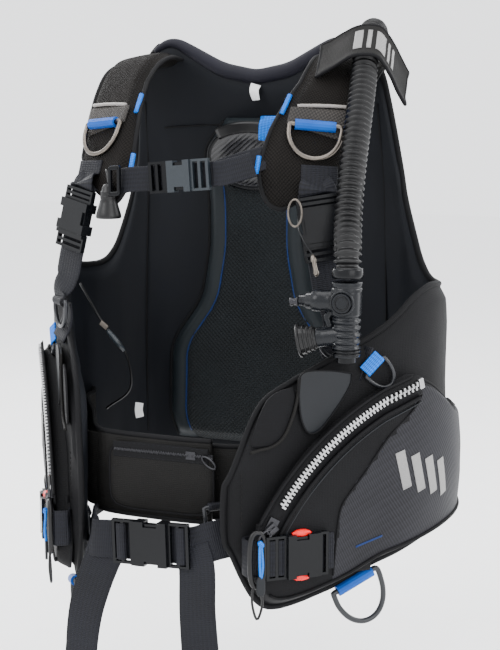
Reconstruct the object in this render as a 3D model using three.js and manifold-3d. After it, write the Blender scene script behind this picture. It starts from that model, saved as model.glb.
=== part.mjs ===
// Buoyancy compensator vest: a jacket-style diving vest with shoulder straps, releasable weight pouches,
// zipped cargo pockets, a corrugated inflator hose and a cam band for one air cylinder.
// Millimetres. +Z is up, +X is the wearer's left and -Y is the wearer's front.
// The origin is the centre of the rubber face that bears on the cylinder.
import * as THREE from "three";
import { mergeVertices } from "three/addons/utils/BufferGeometryUtils.js";
import Module from "manifold-3d";

const wasm = await Module();
wasm.setup();

// ---------------------------------------------------------------- driving dimensions
const GAP = 0.4; // clearance between touching pieces

// the jacket's plan line: flat back, round side, straight front run; it hangs narrower on the wearer's right
const BACK_HALF = 115; // half of the flat back
const LEFT_RADIUS = 105;
const LEFT_TURN = THREE.MathUtils.degToRad(137);
const RIGHT_RADIUS = 76;
const RIGHT_TURN = THREE.MathUtils.degToRad(123);
const RIGHT_CARRY = 30; // how much sooner the right side's straight run starts
const SIDE_LENGTH = LEFT_RADIUS * LEFT_TURN; // of the round side, before the front lobe
const FRONT_RUN = 154; // of each front lobe
const BACK_Y = -45; // plan line at the back
const U_SIDE = BACK_HALF + SIDE_LENGTH; // where the front lobe starts
const U_FRONT = U_SIDE + FRONT_RUN; // the lobe's front edge
const LEAN_FROM = 150; // above this height the yoke leans forward
const LEAN_SLOPE = 0.19;

// cloth layers, as offsets outward from the plan line
const LAYER_GAP = 1.1;
const LINING_IN = -2;
const LINING_OUT = 1;
const CELL_OUT = 8.8;
const SHELL_OUT = 13;
const PAD_THICK = 17;
const YOKE_PLATE_THICK = 4;
const POUCH_THICK = 8;
const POCKET_OUT = 29; // the cargo pocket's outer face

// backpack and cylinder band
const PLATE_THICK = 7;
const PLATE_HALF = 66;
const PLATE_TOP = 178;
const PLATE_BOTTOM = -150;
const PAD_RUBBER = 6; // rubber face that bears on the cylinder
const CYLINDER_RADIUS = 92;
const BAND_WIDTH = 50;
const BAND_THICK = 2.4;
const BAND_Z = 45;

// webbing
const WEB = 2.2; // thickness
const CHEST_WEB = 25; // widths
const POUCH_WEB = 36;
const WAIST_WEB = 38;
const SHOULDER_WEB = 38;

// padded shoulder straps
const STRAP_WIDTH = 74;
const STRAP_THICK = 14;

// inflator hose
const HOSE_RADIUS = 13.5;

// zip on the cargo pocket: an arc in the lobe's straight plane, with its centre at run -124, height -297
const ZIP_RADIUS = 279;
const ZIP_RUN = -124;
const ZIP_HEIGHT = -297;
const ZIP_END_RUN = 118; // the slider's closed place along the front run

// ---------------------------------------------------------------- materials
const cloth = (color, roughness = 0.9) => new THREE.MeshStandardMaterial({ color, roughness, metalness: 0 });
const LINING = cloth(0x15181f);
const NYLON = cloth(0x1b1c1e);
const BLADDER = cloth(0x2c3038);
const MESH_PAD = cloth(0x15191e);
const GREY_CLOTH = cloth(0x3b3d42, 0.7);
const WEBBING = cloth(0x24262a, 0.85);
const BLUE_WEB = cloth(0x0a6fd8, 0.7);
const PLASTIC = cloth(0x1a1c1e, 0.45);
const GREY_PLASTIC = cloth(0x3c4146, 0.45);
const RED_PLASTIC = cloth(0xd8181c, 0.4);
const RUBBER = cloth(0x222427, 0.6);
const CARBON = cloth(0x202327, 0.3);
const STEEL = new THREE.MeshStandardMaterial({ color: 0x8d8a86, roughness: 0.35, metalness: 0.9 });
const COATED_WIRE = cloth(0x34363a, 0.5);

// ---------------------------------------------------------------- solids
const V = (x, y, z) => new THREE.Vector3(x, y, z);

function signedVolume(vertices, triangles) {
  let six = 0;
  for (const [a, b, c] of triangles) six += vertices[a].dot(vertices[b].clone().cross(vertices[c]));
  return six / 6;
}

// Vertices and triangles as a geometry with its faces pointing out.
function closed(vertices, triangles) {
  const out = signedVolume(vertices, triangles) >= 0;
  const position = new Float32Array(vertices.flatMap((p) => [p.x, p.y, p.z]));
  const index = triangles.flatMap(([a, b, c]) => (out ? [a, b, c] : [a, c, b]));
  return new THREE.BufferGeometry()
    .setAttribute("position", new THREE.BufferAttribute(position, 3))
    .setIndex(index);
}

// The solid between two grids of points of the same size, front[i][j] and back[i][j].
function between(front, back) {
  const n = front.length;
  const m = front[0].length;
  const vertices = [...front.flat(), ...back.flat()];
  const at = (layer, i, j) => layer * n * m + i * m + j;
  const triangles = [];
  const quad = (a, b, c, d) => triangles.push([a, b, c], [a, c, d]);
  for (let i = 0; i < n - 1; i++) {
    for (let j = 0; j < m - 1; j++) {
      quad(at(0, i, j), at(0, i + 1, j), at(0, i + 1, j + 1), at(0, i, j + 1));
      quad(at(1, i, j), at(1, i, j + 1), at(1, i + 1, j + 1), at(1, i + 1, j));
    }
    quad(at(0, i, 0), at(1, i, 0), at(1, i + 1, 0), at(0, i + 1, 0));
    quad(at(0, i, m - 1), at(0, i + 1, m - 1), at(1, i + 1, m - 1), at(1, i, m - 1));
  }
  for (let j = 0; j < m - 1; j++) {
    quad(at(0, 0, j), at(0, 0, j + 1), at(1, 0, j + 1), at(1, 0, j));
    quad(at(0, n - 1, j), at(1, n - 1, j), at(1, n - 1, j + 1), at(0, n - 1, j + 1));
  }
  return closed(vertices, triangles);
}

// The solid along a row of sections with the same number of points each, capped or closed on itself.
function loft(sections, loop = false) {
  const n = sections.length;
  const m = sections[0].length;
  const vertices = sections.flat();
  const triangles = [];
  for (let i = 0; i < (loop ? n : n - 1); i++) {
    const next = (i + 1) % n;
    for (let j = 0; j < m; j++) {
      const k = (j + 1) % m;
      triangles.push([i * m + j, next * m + j, next * m + k], [i * m + j, next * m + k, i * m + k]);
    }
  }
  if (!loop) {
    for (let j = 1; j < m - 1; j++) {
      triangles.push([0, j, j + 1], [(n - 1) * m, (n - 1) * m + j + 1, (n - 1) * m + j]);
    }
  }
  return closed(vertices, triangles);
}

// Directions along a row of points.
function directions(points, loop) {
  const n = points.length;
  return points.map((p, i) => {
    const before = points[loop ? (i + n - 1) % n : Math.max(i - 1, 0)];
    const after = points[loop ? (i + 1) % n : Math.min(i + 1, n - 1)];
    return after.clone().sub(before).normalize();
  });
}

// A flat strap along points: each station is [point, outward normal, width].
function ribbon(stations, thickness, loop = false) {
  const along = directions(stations.map(([p]) => p), loop);
  return loft(
    stations.map(([p, normal, width], i) => {
      const side = along[i].clone().cross(normal).normalize();
      const out = side.clone().cross(along[i]).normalize();
      const corner = (s, o) => p.clone().addScaledVector(side, (s * width) / 2).addScaledVector(out, (o * thickness) / 2);
      return [corner(-1, -1), corner(1, -1), corner(1, 1), corner(-1, 1)];
    }),
    loop,
  );
}

// A closed wire: a round section with a few sides carried along a flat closed path.
function wireLoop(points, normal, radius, sides = 6) {
  const along = directions(points, true);
  return loft(
    points.map((p, i) => {
      const side = along[i].clone().cross(normal).normalize();
      return Array.from({ length: sides }, (_, k) => {
        const a = (2 * Math.PI * k) / sides;
        return p.clone().addScaledVector(side, radius * Math.cos(a)).addScaledVector(normal, radius * Math.sin(a));
      });
    }),
    true,
  );
}

const smooth = (points, steps) => new THREE.CatmullRomCurve3(points, false, "centripetal").getSpacedPoints(steps);

function solidOf(geometry) {
  const bare = geometry.clone();
  bare.deleteAttribute("normal");
  bare.deleteAttribute("uv");
  const merged = mergeVertices(bare, 1e-4);
  return new wasm.Manifold(
    new wasm.Mesh({
      numProp: 3,
      vertProperties: merged.attributes.position.array,
      triVerts: new Uint32Array(merged.index.array),
    }),
  );
}

function geometryOf(solid) {
  const made = solid.getMesh();
  return new THREE.BufferGeometry()
    .setAttribute("position", new THREE.BufferAttribute(new Float32Array(made.vertProperties), 3))
    .setIndex(new THREE.BufferAttribute(made.triVerts, 1));
}

// The pieces of the first list joined, less those of the second.
function carve(pieces, cuts = []) {
  let solid = pieces.map(solidOf).reduce((a, b) => a.add(b));
  for (const cut of cuts) solid = solid.subtract(solidOf(cut));
  return geometryOf(solid);
}

const box = (x0, x1, y0, y1, z0, z1) =>
  new THREE.BoxGeometry(x1 - x0, y1 - y0, z1 - z0).translate((x0 + x1) / 2, (y0 + y1) / 2, (z0 + z1) / 2);

// A cylinder or cone from a to b.
function rod(a, b, radiusA, radiusB = radiusA, sides = 16) {
  const axis = b.clone().sub(a);
  const turn = new THREE.Quaternion().setFromUnitVectors(V(0, 1, 0), axis.clone().normalize());
  return new THREE.CylinderGeometry(radiusB, radiusA, axis.length(), sides)
    .applyQuaternion(turn)
    .translate(...a.clone().add(b).multiplyScalar(0.5).toArray());
}

// A plate with a drawn outline in XZ, from y0 to y1.
function plate(shape, y0, y1, curveSegments = 10) {
  return new THREE.ExtrudeGeometry(shape, { depth: y1 - y0, bevelEnabled: false, curveSegments })
    .rotateX(Math.PI / 2)
    .translate(0, y1, 0);
}

function roundedShape(x0, x1, z0, z1, r) {
  const s = new THREE.Shape();
  s.moveTo(x0 + r, z0);
  s.lineTo(x1 - r, z0);
  s.absarc(x1 - r, z0 + r, r, -Math.PI / 2, 0);
  s.lineTo(x1, z1 - r);
  s.absarc(x1 - r, z1 - r, r, 0, Math.PI / 2);
  s.lineTo(x0 + r, z1);
  s.absarc(x0 + r, z1 - r, r, Math.PI / 2, Math.PI);
  s.lineTo(x0, z0 + r);
  s.absarc(x0 + r, z0 + r, r, Math.PI, 1.5 * Math.PI);
  return s;
}

// ---------------------------------------------------------------- scene graph
const vest = new THREE.Group();
const leftSide = new THREE.Group();
const rightSide = new THREE.Group();
rightSide.scale.x = -1; // the wearer's right is the mirror of the left
vest.add(leftSide, rightSide);

function add(parent, name, geometry, material) {
  const mesh = new THREE.Mesh(geometry, material);
  mesh.name = name;
  parent.add(mesh);
  return mesh;
}

// Adds the same piece on the wearer's left and, mirrored, on the right.
function addPair(name, geometry, material) {
  add(leftSide, name + "_left", geometry, material);
  add(rightSide, name + "_right", geometry, material);
}

// A group whose +Y runs along a piece, and whose +Z is the side that faces the viewer of the piece.
function placed(parent, origin, along, facing) {
  const y = along.clone().normalize();
  const x = y.clone().cross(facing).normalize();
  const z = x.clone().cross(y);
  const group = new THREE.Group();
  group.position.copy(origin);
  group.quaternion.setFromRotationMatrix(new THREE.Matrix4().makeBasis(x, y, z));
  parent.add(group);
  return group;
}

// ---------------------------------------------------------------- the jacket's wrap
// A point of the jacket: u along the plan line from the back's centre, height z, offset w outward.
function wrap(u, z, w) {
  const side = Math.sign(u) || 1;
  const { radius, turn, carry } = sidePlan(side);
  const lean = LEAN_SLOPE * Math.max(0, z - LEAN_FROM);
  const a = Math.abs(u);
  if (a <= BACK_HALF) return V(side * a, BACK_Y + w - lean, z);
  const share = Math.min(a - BACK_HALF, SIDE_LENGTH) / SIDE_LENGTH;
  const path = share * (radius * turn + carry) + Math.max(0, a - U_SIDE);
  const angle = Math.min(path / radius, turn);
  const run = Math.max(0, path - radius * turn);
  const x = BACK_HALF + (radius + w) * Math.sin(angle) + run * Math.cos(turn);
  const y = BACK_Y - radius + (radius + w) * Math.cos(angle) - run * Math.sin(turn);
  return V(side * x, y - lean, z);
}

function sidePlan(side) {
  if (side > 0) return { radius: LEFT_RADIUS, turn: LEFT_TURN, carry: 0 };
  return { radius: RIGHT_RADIUS, turn: RIGHT_TURN, carry: RIGHT_CARRY };
}

// Outward direction of the jacket's face at (u, z).
function outwardAt(u, z) {
  const along = wrap(u + 1, z, SHELL_OUT).sub(wrap(u - 1, z, SHELL_OUT));
  const up = wrap(u, z + 1, SHELL_OUT).sub(wrap(u, z - 1, SHELL_OUT));
  return up.cross(along).normalize();
}

// A front lobe, side = 1 for the wearer's left and -1 for the right: its forward and outward
// directions, and its points by run from the lobe's start.
const runAlong = (side) => V(side * Math.cos(sidePlan(side).turn), -Math.sin(sidePlan(side).turn), 0);
const runOut = (side) => V(side * Math.sin(sidePlan(side).turn), Math.cos(sidePlan(side).turn), 0);
const onRun = (side, run, z, w) => wrap(side * (U_SIDE + run), z, w);
const SIDES = [[1, "_left"], [-1, "_right"]];

// Height at u on a line through [u, height] knots.
function height(knots, u) {
  const a = Math.abs(u);
  let i = 0;
  while (i < knots.length - 2 && a > knots[i + 1][0]) i++;
  const [u0, z0] = knots[i];
  const [u1, z1] = knots[i + 1];
  return THREE.MathUtils.lerp(z0, z1, Math.min(1, Math.max(0, (a - u0) / (u1 - u0))));
}

const TOP = [
  [0, 258], [40, 266], [75, 286], [95, 297], [115, 289], [130, 274], [143, 258], [150, 240], [152, 200],
  [155, 163], [161, 135], [172, 109], [181, 80], [196, 56], [212, 48], [240, 48], [268, 52], [296, 54],
  [322, 46], [345, 27], [U_SIDE, 13], [U_SIDE + 40, -6], [U_SIDE + 81, -25], [U_SIDE + 105, -37],
  [U_SIDE + 120, -47], [U_SIDE + 132, -74], [U_SIDE + 143, -102], [U_FRONT, -128],
];
const BOTTOM = [
  [0, -178], [143, -182], [240, -190], [296, -195], [322, -200], [U_SIDE, -212], [U_SIDE + 40, -231],
  [U_SIDE + 81, -243], [U_SIDE + 105, -247], [U_SIDE + 120, -243], [U_SIDE + 132, -224],
  [U_SIDE + 143, -200], [U_FRONT, -172],
];
const COLUMNS = TOP.map(([u]) => u);

// A layer of the jacket between two offsets, held back from the outline by a margin.
function jacketLayer(inner, outer, margin) {
  const across = [...COLUMNS.slice(1).reverse().map((u) => -u), ...COLUMNS];
  const lowRows = 4;
  const highRows = 4;
  // heights of one column: a row always lies on the bend where the yoke starts to lean
  const rowsAt = (u) => {
    const low = height(BOTTOM, u) + margin;
    const high = height(TOP, u) - margin;
    const bend = high > LEAN_FROM ? LEAN_FROM : THREE.MathUtils.lerp(low, high, 0.6);
    const lower = Array.from({ length: lowRows }, (_, j) => THREE.MathUtils.lerp(low, bend, j / lowRows));
    const upper = Array.from({ length: highRows }, (_, j) => THREE.MathUtils.lerp(bend, high, j / (highRows - 1)));
    return [...lower, ...upper];
  };
  const grid = (w) =>
    across.map((u, i) => {
      const end = i === 0 || i === across.length - 1;
      return rowsAt(u).map((z) => wrap(end ? u - margin * Math.sign(u) : u, z, w));
    });
  return between(grid(outer), grid(inner));
}

function makeJacket() {
  add(vest, "inner_lining", jacketLayer(LINING_IN, LINING_OUT, 0), LINING);
  add(vest, "air_cell", jacketLayer(LINING_OUT + LAYER_GAP, CELL_OUT, 8), BLADDER);
  add(vest, "outer_shell", jacketLayer(CELL_OUT + LAYER_GAP, SHELL_OUT, 0), NYLON);
}

// ---------------------------------------------------------------- back pad and its handle plate
const PAD_HALF = [
  [-150, 96], [-130, 110], [-42, 108], [11, 70], [70, 60], [122, 60], [165, 66], [190, 58], [212, 30],
];
const padHalf = (z) => {
  let i = 0;
  while (i < PAD_HALF.length - 2 && z > PAD_HALF[i + 1][0]) i++;
  const [z0, h0] = PAD_HALF[i];
  const [z1, h1] = PAD_HALF[i + 1];
  return THREE.MathUtils.lerp(h0, h1, (z - z0) / (z1 - z0));
};

function makeBackPad() {
  const heights = [-150, -130, -86, -42, 11, 40, 70, 122, 150, 175, 190, 212];
  const columns = 9;
  const back = heights.map((z) =>
    Array.from({ length: columns }, (_, j) => wrap(padHalf(z) * (2 * (j / (columns - 1)) - 1), z, LINING_IN - GAP)),
  );
  const front = heights.map((z, i) =>
    Array.from({ length: columns }, (_, j) => {
      const s = 2 * (j / (columns - 1)) - 1;
      const rim = Math.abs(s) === 1 || i === 0 || i === heights.length - 1;
      return wrap(padHalf(z) * s, z, LINING_IN - (rim ? PAD_THICK / 2 : PAD_THICK));
    }),
  );
  add(vest, "back_pad", between(front, back), MESH_PAD);
  const plateCentre = wrap(0, 177, LINING_IN - PAD_THICK - GAP);
  const tilted = placed(vest, plateCentre, V(0, -LEAN_SLOPE, 1), V(0, -1, -LEAN_SLOPE));
  const oval = new THREE.Shape().absellipse(0, 0, 52, 27, 0, 2 * Math.PI);
  const settings = { depth: YOKE_PLATE_THICK, bevelEnabled: false, curveSegments: 14 };
  add(tilted, "yoke_plate", new THREE.ExtrudeGeometry(oval, settings), CARBON);
}

// ---------------------------------------------------------------- backpack, cylinder face, band and cam buckle
const PLATE_FRONT = BACK_Y + SHELL_OUT + GAP + BAND_THICK + 2 * GAP; // room for the band between plate and shell
const PLATE_REAR = PLATE_FRONT + PLATE_THICK;
const SLOT_X = 52;
const SLOT_WIDTH = 9;

function makeBackpack() {
  const outline = new THREE.Shape();
  outline.moveTo(-PLATE_HALF, PLATE_BOTTOM + 20);
  outline.quadraticCurveTo(-PLATE_HALF, PLATE_BOTTOM, -PLATE_HALF + 20, PLATE_BOTTOM);
  outline.lineTo(PLATE_HALF - 20, PLATE_BOTTOM);
  outline.quadraticCurveTo(PLATE_HALF, PLATE_BOTTOM, PLATE_HALF, PLATE_BOTTOM + 20);
  outline.bezierCurveTo(PLATE_HALF, -60, PLATE_HALF + 6, 40, PLATE_HALF, 110);
  outline.quadraticCurveTo(PLATE_HALF - 4, PLATE_TOP, 30, PLATE_TOP);
  outline.lineTo(-30, PLATE_TOP);
  outline.quadraticCurveTo(-PLATE_HALF + 4, PLATE_TOP, -PLATE_HALF, 110);
  outline.bezierCurveTo(-PLATE_HALF - 6, 40, -PLATE_HALF, -60, -PLATE_HALF, PLATE_BOTTOM + 20);
  const rail = (side) => box(side * 30 - 7, side * 30 + 7, PLATE_REAR - 1, PLATE_REAR + 9, PLATE_BOTTOM + 24, BAND_Z - 32);
  const upperRail = (side) => box(side * 30 - 7, side * 30 + 7, PLATE_REAR - 1, PLATE_REAR + 9, BAND_Z + 32, 120);
  const seat = box(-24, 24, PLATE_REAR - 1, -PAD_RUBBER - GAP, -38, 38);
  const slot = (side) =>
    box(side * SLOT_X - SLOT_WIDTH / 2, side * SLOT_X + SLOT_WIDTH / 2, PLATE_FRONT - 1, PLATE_REAR + 1, BAND_Z - 27, BAND_Z + 27);
  const grip = box(-38, 38, PLATE_FRONT - 1, PLATE_REAR + 1, 134, 162);
  add(
    vest,
    "backpack_plate",
    carve(
      [plate(outline, PLATE_FRONT, PLATE_REAR, 8), rail(-1), rail(1), upperRail(-1), upperRail(1), seat],
      [slot(-1), slot(1), grip],
    ),
    PLASTIC,
  );
  add(vest, "cylinder_face", plate(roundedShape(-26, 26, -40, 40, 8), -PAD_RUBBER, 0, 4), RUBBER);
}

// The band's closed plan line: behind the plate, out through both slots and round the cylinder.
function bandLine() {
  const radius = CYLINDER_RADIUS + 1 + BAND_THICK / 2;
  const centreY = CYLINDER_RADIUS;
  const behind = BACK_Y + SHELL_OUT + GAP + BAND_THICK / 2;
  const points = [[0, behind], [26, behind], [SLOT_X - 5, behind], [SLOT_X, PLATE_FRONT + 2], [SLOT_X + 2, PLATE_REAR + 3]];
  const turns = 16;
  for (let i = 0; i <= turns; i++) {
    const a = THREE.MathUtils.degToRad(-42 + (264 * i) / turns);
    points.push([radius * Math.cos(a), centreY + radius * Math.sin(a)]);
  }
  points.push([-SLOT_X - 2, PLATE_REAR + 3], [-SLOT_X, PLATE_FRONT + 2], [-SLOT_X + 5, behind], [-26, behind]);
  return points.map(([x, y]) => V(x, y, BAND_Z));
}

function makeBand() {
  const line = bandLine();
  const along = directions(line, true);
  const stations = line.map((p, i) => [p, V(along[i].y, -along[i].x, 0), BAND_WIDTH]);
  add(vest, "cylinder_band", ribbon(stations, BAND_THICK, true), WEBBING);
}

const CAM_Y = 2 * CYLINDER_RADIUS + 1 + BAND_THICK + GAP; // outer face of the band at the rear
const CAM_HINGE_X = 30;
const CAM_HINGE_Y = CAM_Y + 13;

function makeCamBuckle() {
  const half = BAND_WIDTH / 2 + 5;
  const ear = (z) => box(CAM_HINGE_X - 9, CAM_HINGE_X + 8, CAM_Y, CAM_HINGE_Y + 7, z - 2, z + 2);
  const pinHole = rod(V(CAM_HINGE_X, CAM_HINGE_Y, BAND_Z - half - 3), V(CAM_HINGE_X, CAM_HINGE_Y, BAND_Z + half + 3), 3);
  add(
    vest,
    "cam_buckle_base",
    carve(
      [box(-34, 38, CAM_Y, CAM_Y + 4, BAND_Z - half, BAND_Z + half), ear(BAND_Z - half + 2), ear(BAND_Z + half - 2)],
      [pinHole, box(-26, -20, CAM_Y - 1, CAM_Y + 5, BAND_Z - 26, BAND_Z + 26)],
    ),
    PLASTIC,
  );
  const inside = half - 4 - GAP;
  const pin = rod(V(CAM_HINGE_X, CAM_HINGE_Y, BAND_Z - half + 0.5), V(CAM_HINGE_X, CAM_HINGE_Y, BAND_Z + half - 0.5), 2.6, 2.6, 12);
  const drum = rod(V(CAM_HINGE_X, CAM_HINGE_Y, BAND_Z - inside), V(CAM_HINGE_X, CAM_HINGE_Y, BAND_Z + inside), 7, 7, 12);
  add(
    vest,
    "cam_buckle_lever",
    carve(
      [pin, drum, box(-44, CAM_HINGE_X, CAM_HINGE_Y - 2, CAM_HINGE_Y + 3, BAND_Z - inside, BAND_Z + inside)],
      [box(-32, -14, CAM_HINGE_Y - 4, CAM_HINGE_Y + 5, BAND_Z - 19, BAND_Z + 19)],
    ),
    GREY_PLASTIC,
  );
}

// A webbing grab handle that arches off the top of the backpack plate.
function makeCarryHandle() {
  const low = PLATE_REAR + GAP + 2.4;
  const half = [V(52, low, 98), V(52, low, 124), V(44, low + 16, 166)];
  const mirrored = half.map((p) => V(-p.x, p.y, p.z)).reverse();
  const points = smooth([...half, V(0, low + 22, 184), ...mirrored], 20);
  const stations = points.map((p) => [p, V(0, 1, 0), 26]);
  add(vest, "carry_handle", ribbon(stations, 3.2), WEBBING);
}

// ---------------------------------------------------------------- shoulder straps
// [point, outward normal, width] from the yoke, over the shoulder and down to the buckle.
const STRAP = [
  [V(117, -73.6, 270), V(0.12, -0.1, 0.99), 72],
  [V(118, -96, 271), V(0.18, -0.2, 0.97), STRAP_WIDTH],
  [V(118, -120, 264), V(0.24, -0.42, 0.88), STRAP_WIDTH],
  [V(117, -146, 246), V(0.3, -0.62, 0.72), STRAP_WIDTH],
  [V(115, -171, 221), V(0.36, -0.78, 0.5), STRAP_WIDTH],
  [V(114, -190, 194), V(0.4, -0.86, 0.3), STRAP_WIDTH],
  [V(114, -204, 166), V(0.42, -0.88, 0.2), 70],
  [V(117, -212, 142), V(0.42, -0.89, 0.14), 58],
];
const strapCurve = new THREE.CatmullRomCurve3(STRAP.map(([p]) => p), false, "centripetal");

function makeShoulderStraps() {
  const fine = 14;
  const points = strapCurve.getPoints(fine);
  const stations = points.map((p, i) => {
    const at = (i / fine) * (STRAP.length - 1);
    const k = Math.min(Math.floor(at), STRAP.length - 2);
    const share = at - k;
    const normal = STRAP[k][1].clone().lerp(STRAP[k + 1][1], share).normalize();
    return [p, normal, THREE.MathUtils.lerp(STRAP[k][2], STRAP[k + 1][2], share)];
  });
  const behind = (distance) => behindBuckle(SHOULDER_MOUTH, SHOULDER_ALONG, SHOULDER_FACE, distance);
  const { body } = BUCKLES.shoulder;
  const tab = [points[fine].clone().add(V(-1, 2, 14)), behind(-body - 20), behind(-body - 9)];
  const stub = ribbon(flat(tab, STRAP[STRAP.length - 1][1], SHOULDER_WEB), WEB);
  addPair("shoulder_strap", carve([ribbon(stations, STRAP_THICK), stub]), NYLON);
}

// ---------------------------------------------------------------- side-release buckles
// In the buckle's own frame +Y points out of the socket's mouth, and the mouth is at y = 0.
// The webbing lies behind the slotted frames of both halves.
const FRAME_BACK = 2.2;
const FRAME_FRONT = 2.6;
const BEHIND_FRAME = FRAME_BACK + GAP + WEB / 2;
const BUCKLES = {
  chest: { web: CHEST_WEB, body: 25, socketFrame: 20, prongFrame: 18, thick: 10 },
  shoulder: { web: SHOULDER_WEB, body: 32, socketFrame: 13, prongFrame: 15, thick: 13 },
  waist: { web: WAIST_WEB, body: 34, socketFrame: 22, prongFrame: 22, thick: 13 },
  pouch: { web: POUCH_WEB, body: 30, socketFrame: 21, prongFrame: 9, thick: 12 },
};
const BUCKLE_WALL = 1.7;
const BUCKLE_RIM = 3; // how far a buckle stands past its webbing on each side

const bar = (s, y0, y1) => box(-s.web / 2 - 0.6, s.web / 2 + 0.6, y0, y1, -5, 5);

// Slots for webbing in a frame that runs from y0 to y1.
function frameSlots(s, y0, y1) {
  if (y1 - y0 < 12) return [bar(s, y0 + 3, y1 - 2.5)];
  const middle = (y0 + y1) / 2;
  return [bar(s, y0 + 3, middle - 1.5), bar(s, middle + 1.5, y1 - 3)];
}

function socketHalf(s) {
  const half = s.web / 2 + BUCKLE_RIM;
  const t = s.thick / 2;
  const window = (side) => box(side * half - 5, side * half + 5, -0.72 * s.body, -0.3 * s.body, -t - 1, t + 1);
  const cavityHalf = half - BUCKLE_WALL;
  return carve(
    [box(-half, half, -s.body, 0, -t, t), box(-half, half, -s.body - s.socketFrame, 1 - s.body, -FRAME_BACK, FRAME_FRONT)],
    [
      box(-cavityHalf, cavityHalf, -s.body + 2.5, 1, -t + BUCKLE_WALL, t - BUCKLE_WALL),
      window(-1),
      window(1),
      ...frameSlots(s, -s.body - s.socketFrame, -s.body),
    ],
  );
}

function prongHalf(s) {
  const half = s.web / 2 + BUCKLE_RIM;
  const t = s.thick / 2;
  const inside = half - BUCKLE_WALL - GAP;
  const arm = (side) => {
    const [x0, x1] = side > 0 ? [inside - 4.4, inside] : [-inside, 4.4 - inside];
    return box(x0, x1, -s.body + 5, 1, -FRAME_BACK, t - BUCKLE_WALL - GAP);
  };
  return carve(
    [
      arm(-1),
      arm(1),
      box(-3, 3, -0.6 * s.body, 1, -2, 2),
      box(-half, half, GAP, 4, -FRAME_BACK, t - 1),
      box(-half, half, 3, 3 + s.prongFrame, -FRAME_BACK, FRAME_FRONT),
    ],
    frameSlots(s, 3, 3 + s.prongFrame),
  );
}

// Adds both halves of a buckle in a frame of its own.
function addBuckle(parent, name, suffix, s, origin, along, facing, materials) {
  const group = placed(parent, origin, along, facing);
  add(group, `${name}_socket${suffix}`, socketHalf(s), materials[0]);
  add(group, `${name}_prongs${suffix}`, prongHalf(s), materials[1]);
}

// The point behind a buckle's frames, at a distance along from its mouth.
function behindBuckle(origin, along, facing, distance, depth = BEHIND_FRAME) {
  const out = facing.clone().addScaledVector(along, -facing.dot(along)).normalize();
  return origin.clone().addScaledVector(along, distance).addScaledVector(out, -depth);
}

const flat = (points, normal, width) => points.map((p) => [p, normal, width]);

// ---------------------------------------------------------------- shoulder buckles and lower straps
const SHOULDER_MOUTH = V(137, -227, 99);
const SHOULDER_ALONG = V(0.2, -0.08, -0.976).normalize(); // down, out of the socket
const SHOULDER_FACE = V(0.42, -0.9, 0.12);
const SHOULDER_TRAVEL = 50; // straight stretch of the lower strap that the prongs ride
const LOBE_RING_AT = { 1: V(150, -230, 14), [-1]: V(154, -226, 26) }; // where the lower straps loop the lobes' rings

function makeShoulderBuckles() {
  for (const [side, suffix] of [[leftSide, "_left"], [rightSide, "_right"]]) {
    const place = [SHOULDER_MOUTH, SHOULDER_ALONG, SHOULDER_FACE];
    addBuckle(side, "shoulder_buckle", suffix, BUCKLES.shoulder, ...place, [PLASTIC, PLASTIC]);
  }
  const start = behindBuckle(SHOULDER_MOUTH, SHOULDER_ALONG, SHOULDER_FACE, 5);
  const run = behindBuckle(SHOULDER_MOUTH, SHOULDER_ALONG, SHOULDER_FACE, SHOULDER_TRAVEL);
  for (const [side, suffix] of SIDES) {
    const ring = LOBE_RING_AT[side];
    const above = (rise) => ring.clone().add(V(0, 0, rise));
    const points = smooth([start, start.clone().lerp(run, 0.5), run, above(10), above(4.5)], 10);
    const width = (i) => (i < points.length - 1 ? SHOULDER_WEB : 22); // folded narrower at the ring
    const strap = ribbon(points.map((p, i) => [p, SHOULDER_FACE, width(i)]), WEB);
    const loop = placed(new THREE.Group(), ring, V(0, 0, 1), runOut(1));
    loop.updateMatrix();
    const sleeve = sleeveGeometry(SMALL_RING, 30).applyMatrix4(loop.matrix);
    const half = side > 0 ? leftSide : rightSide;
    add(half, "lower_strap" + suffix, carve([strap, sleeve]), WEBBING);
    addRing(half, "lobe_ring", suffix, SMALL_RING, ring, V(0, 0, -1), runOut(1));
  }
}

// ---------------------------------------------------------------- D-rings
// In a ring's own frame the bar lies on X and the bow hangs to -Y, in the plane of Z = 0.
const RING = { wide: 50, drop: 34, wire: 2.5 };
const SMALL_RING = { wide: 34, drop: 27, wire: 2.2 };
const BOTTOM_RING = { wide: 50, drop: 44, wire: 2.7 };

function ringPath(s) {
  const half = s.wide / 2;
  const points = [V(-half, 0, 0), V(0, 0, 0), V(half, 0, 0)];
  const turns = 13;
  for (let i = 1; i < turns; i++) {
    const a = (Math.PI * i) / turns;
    points.push(V((half + 1) * Math.cos(a), -s.drop * Math.sin(a) ** 0.8, 0));
  }
  return points;
}

const ringGeometry = (s) => wireLoop(ringPath(s), V(0, 0, 1), s.wire);

// The webbing sleeve that holds the bar: a tube along X.
const RING_PLAY = 0.6;
const SLEEVE_WALL = 2.2;
function sleeveGeometry(s, length) {
  const bore = s.wire + RING_PLAY;
  const outer = bore + SLEEVE_WALL;
  const half = length / 2;
  const corners = [[bore, -half], [outer, -half], [outer, half], [bore, half], [bore, -half]];
  const profile = corners.map(([r, y]) => new THREE.Vector2(r, y));
  return new THREE.LatheGeometry(profile, 12).rotateZ(Math.PI / 2);
}

function addRing(parent, name, suffix, s, origin, hang, facing, sleeve = 0) {
  const group = placed(parent, origin, hang.clone().negate(), facing);
  add(group, name + suffix, ringGeometry(s), s === RING ? STEEL : COATED_WIRE);
  if (sleeve > 0) add(group, `${name}_sleeve${suffix}`, sleeveGeometry(s, sleeve), BLUE_WEB);
}

const CHEST_RING_AT = V(111, -186.2, 204); // strap centre under the chest ring
const BOTTOM_RING_RUN = { 1: 24, [-1]: 106 };

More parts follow.
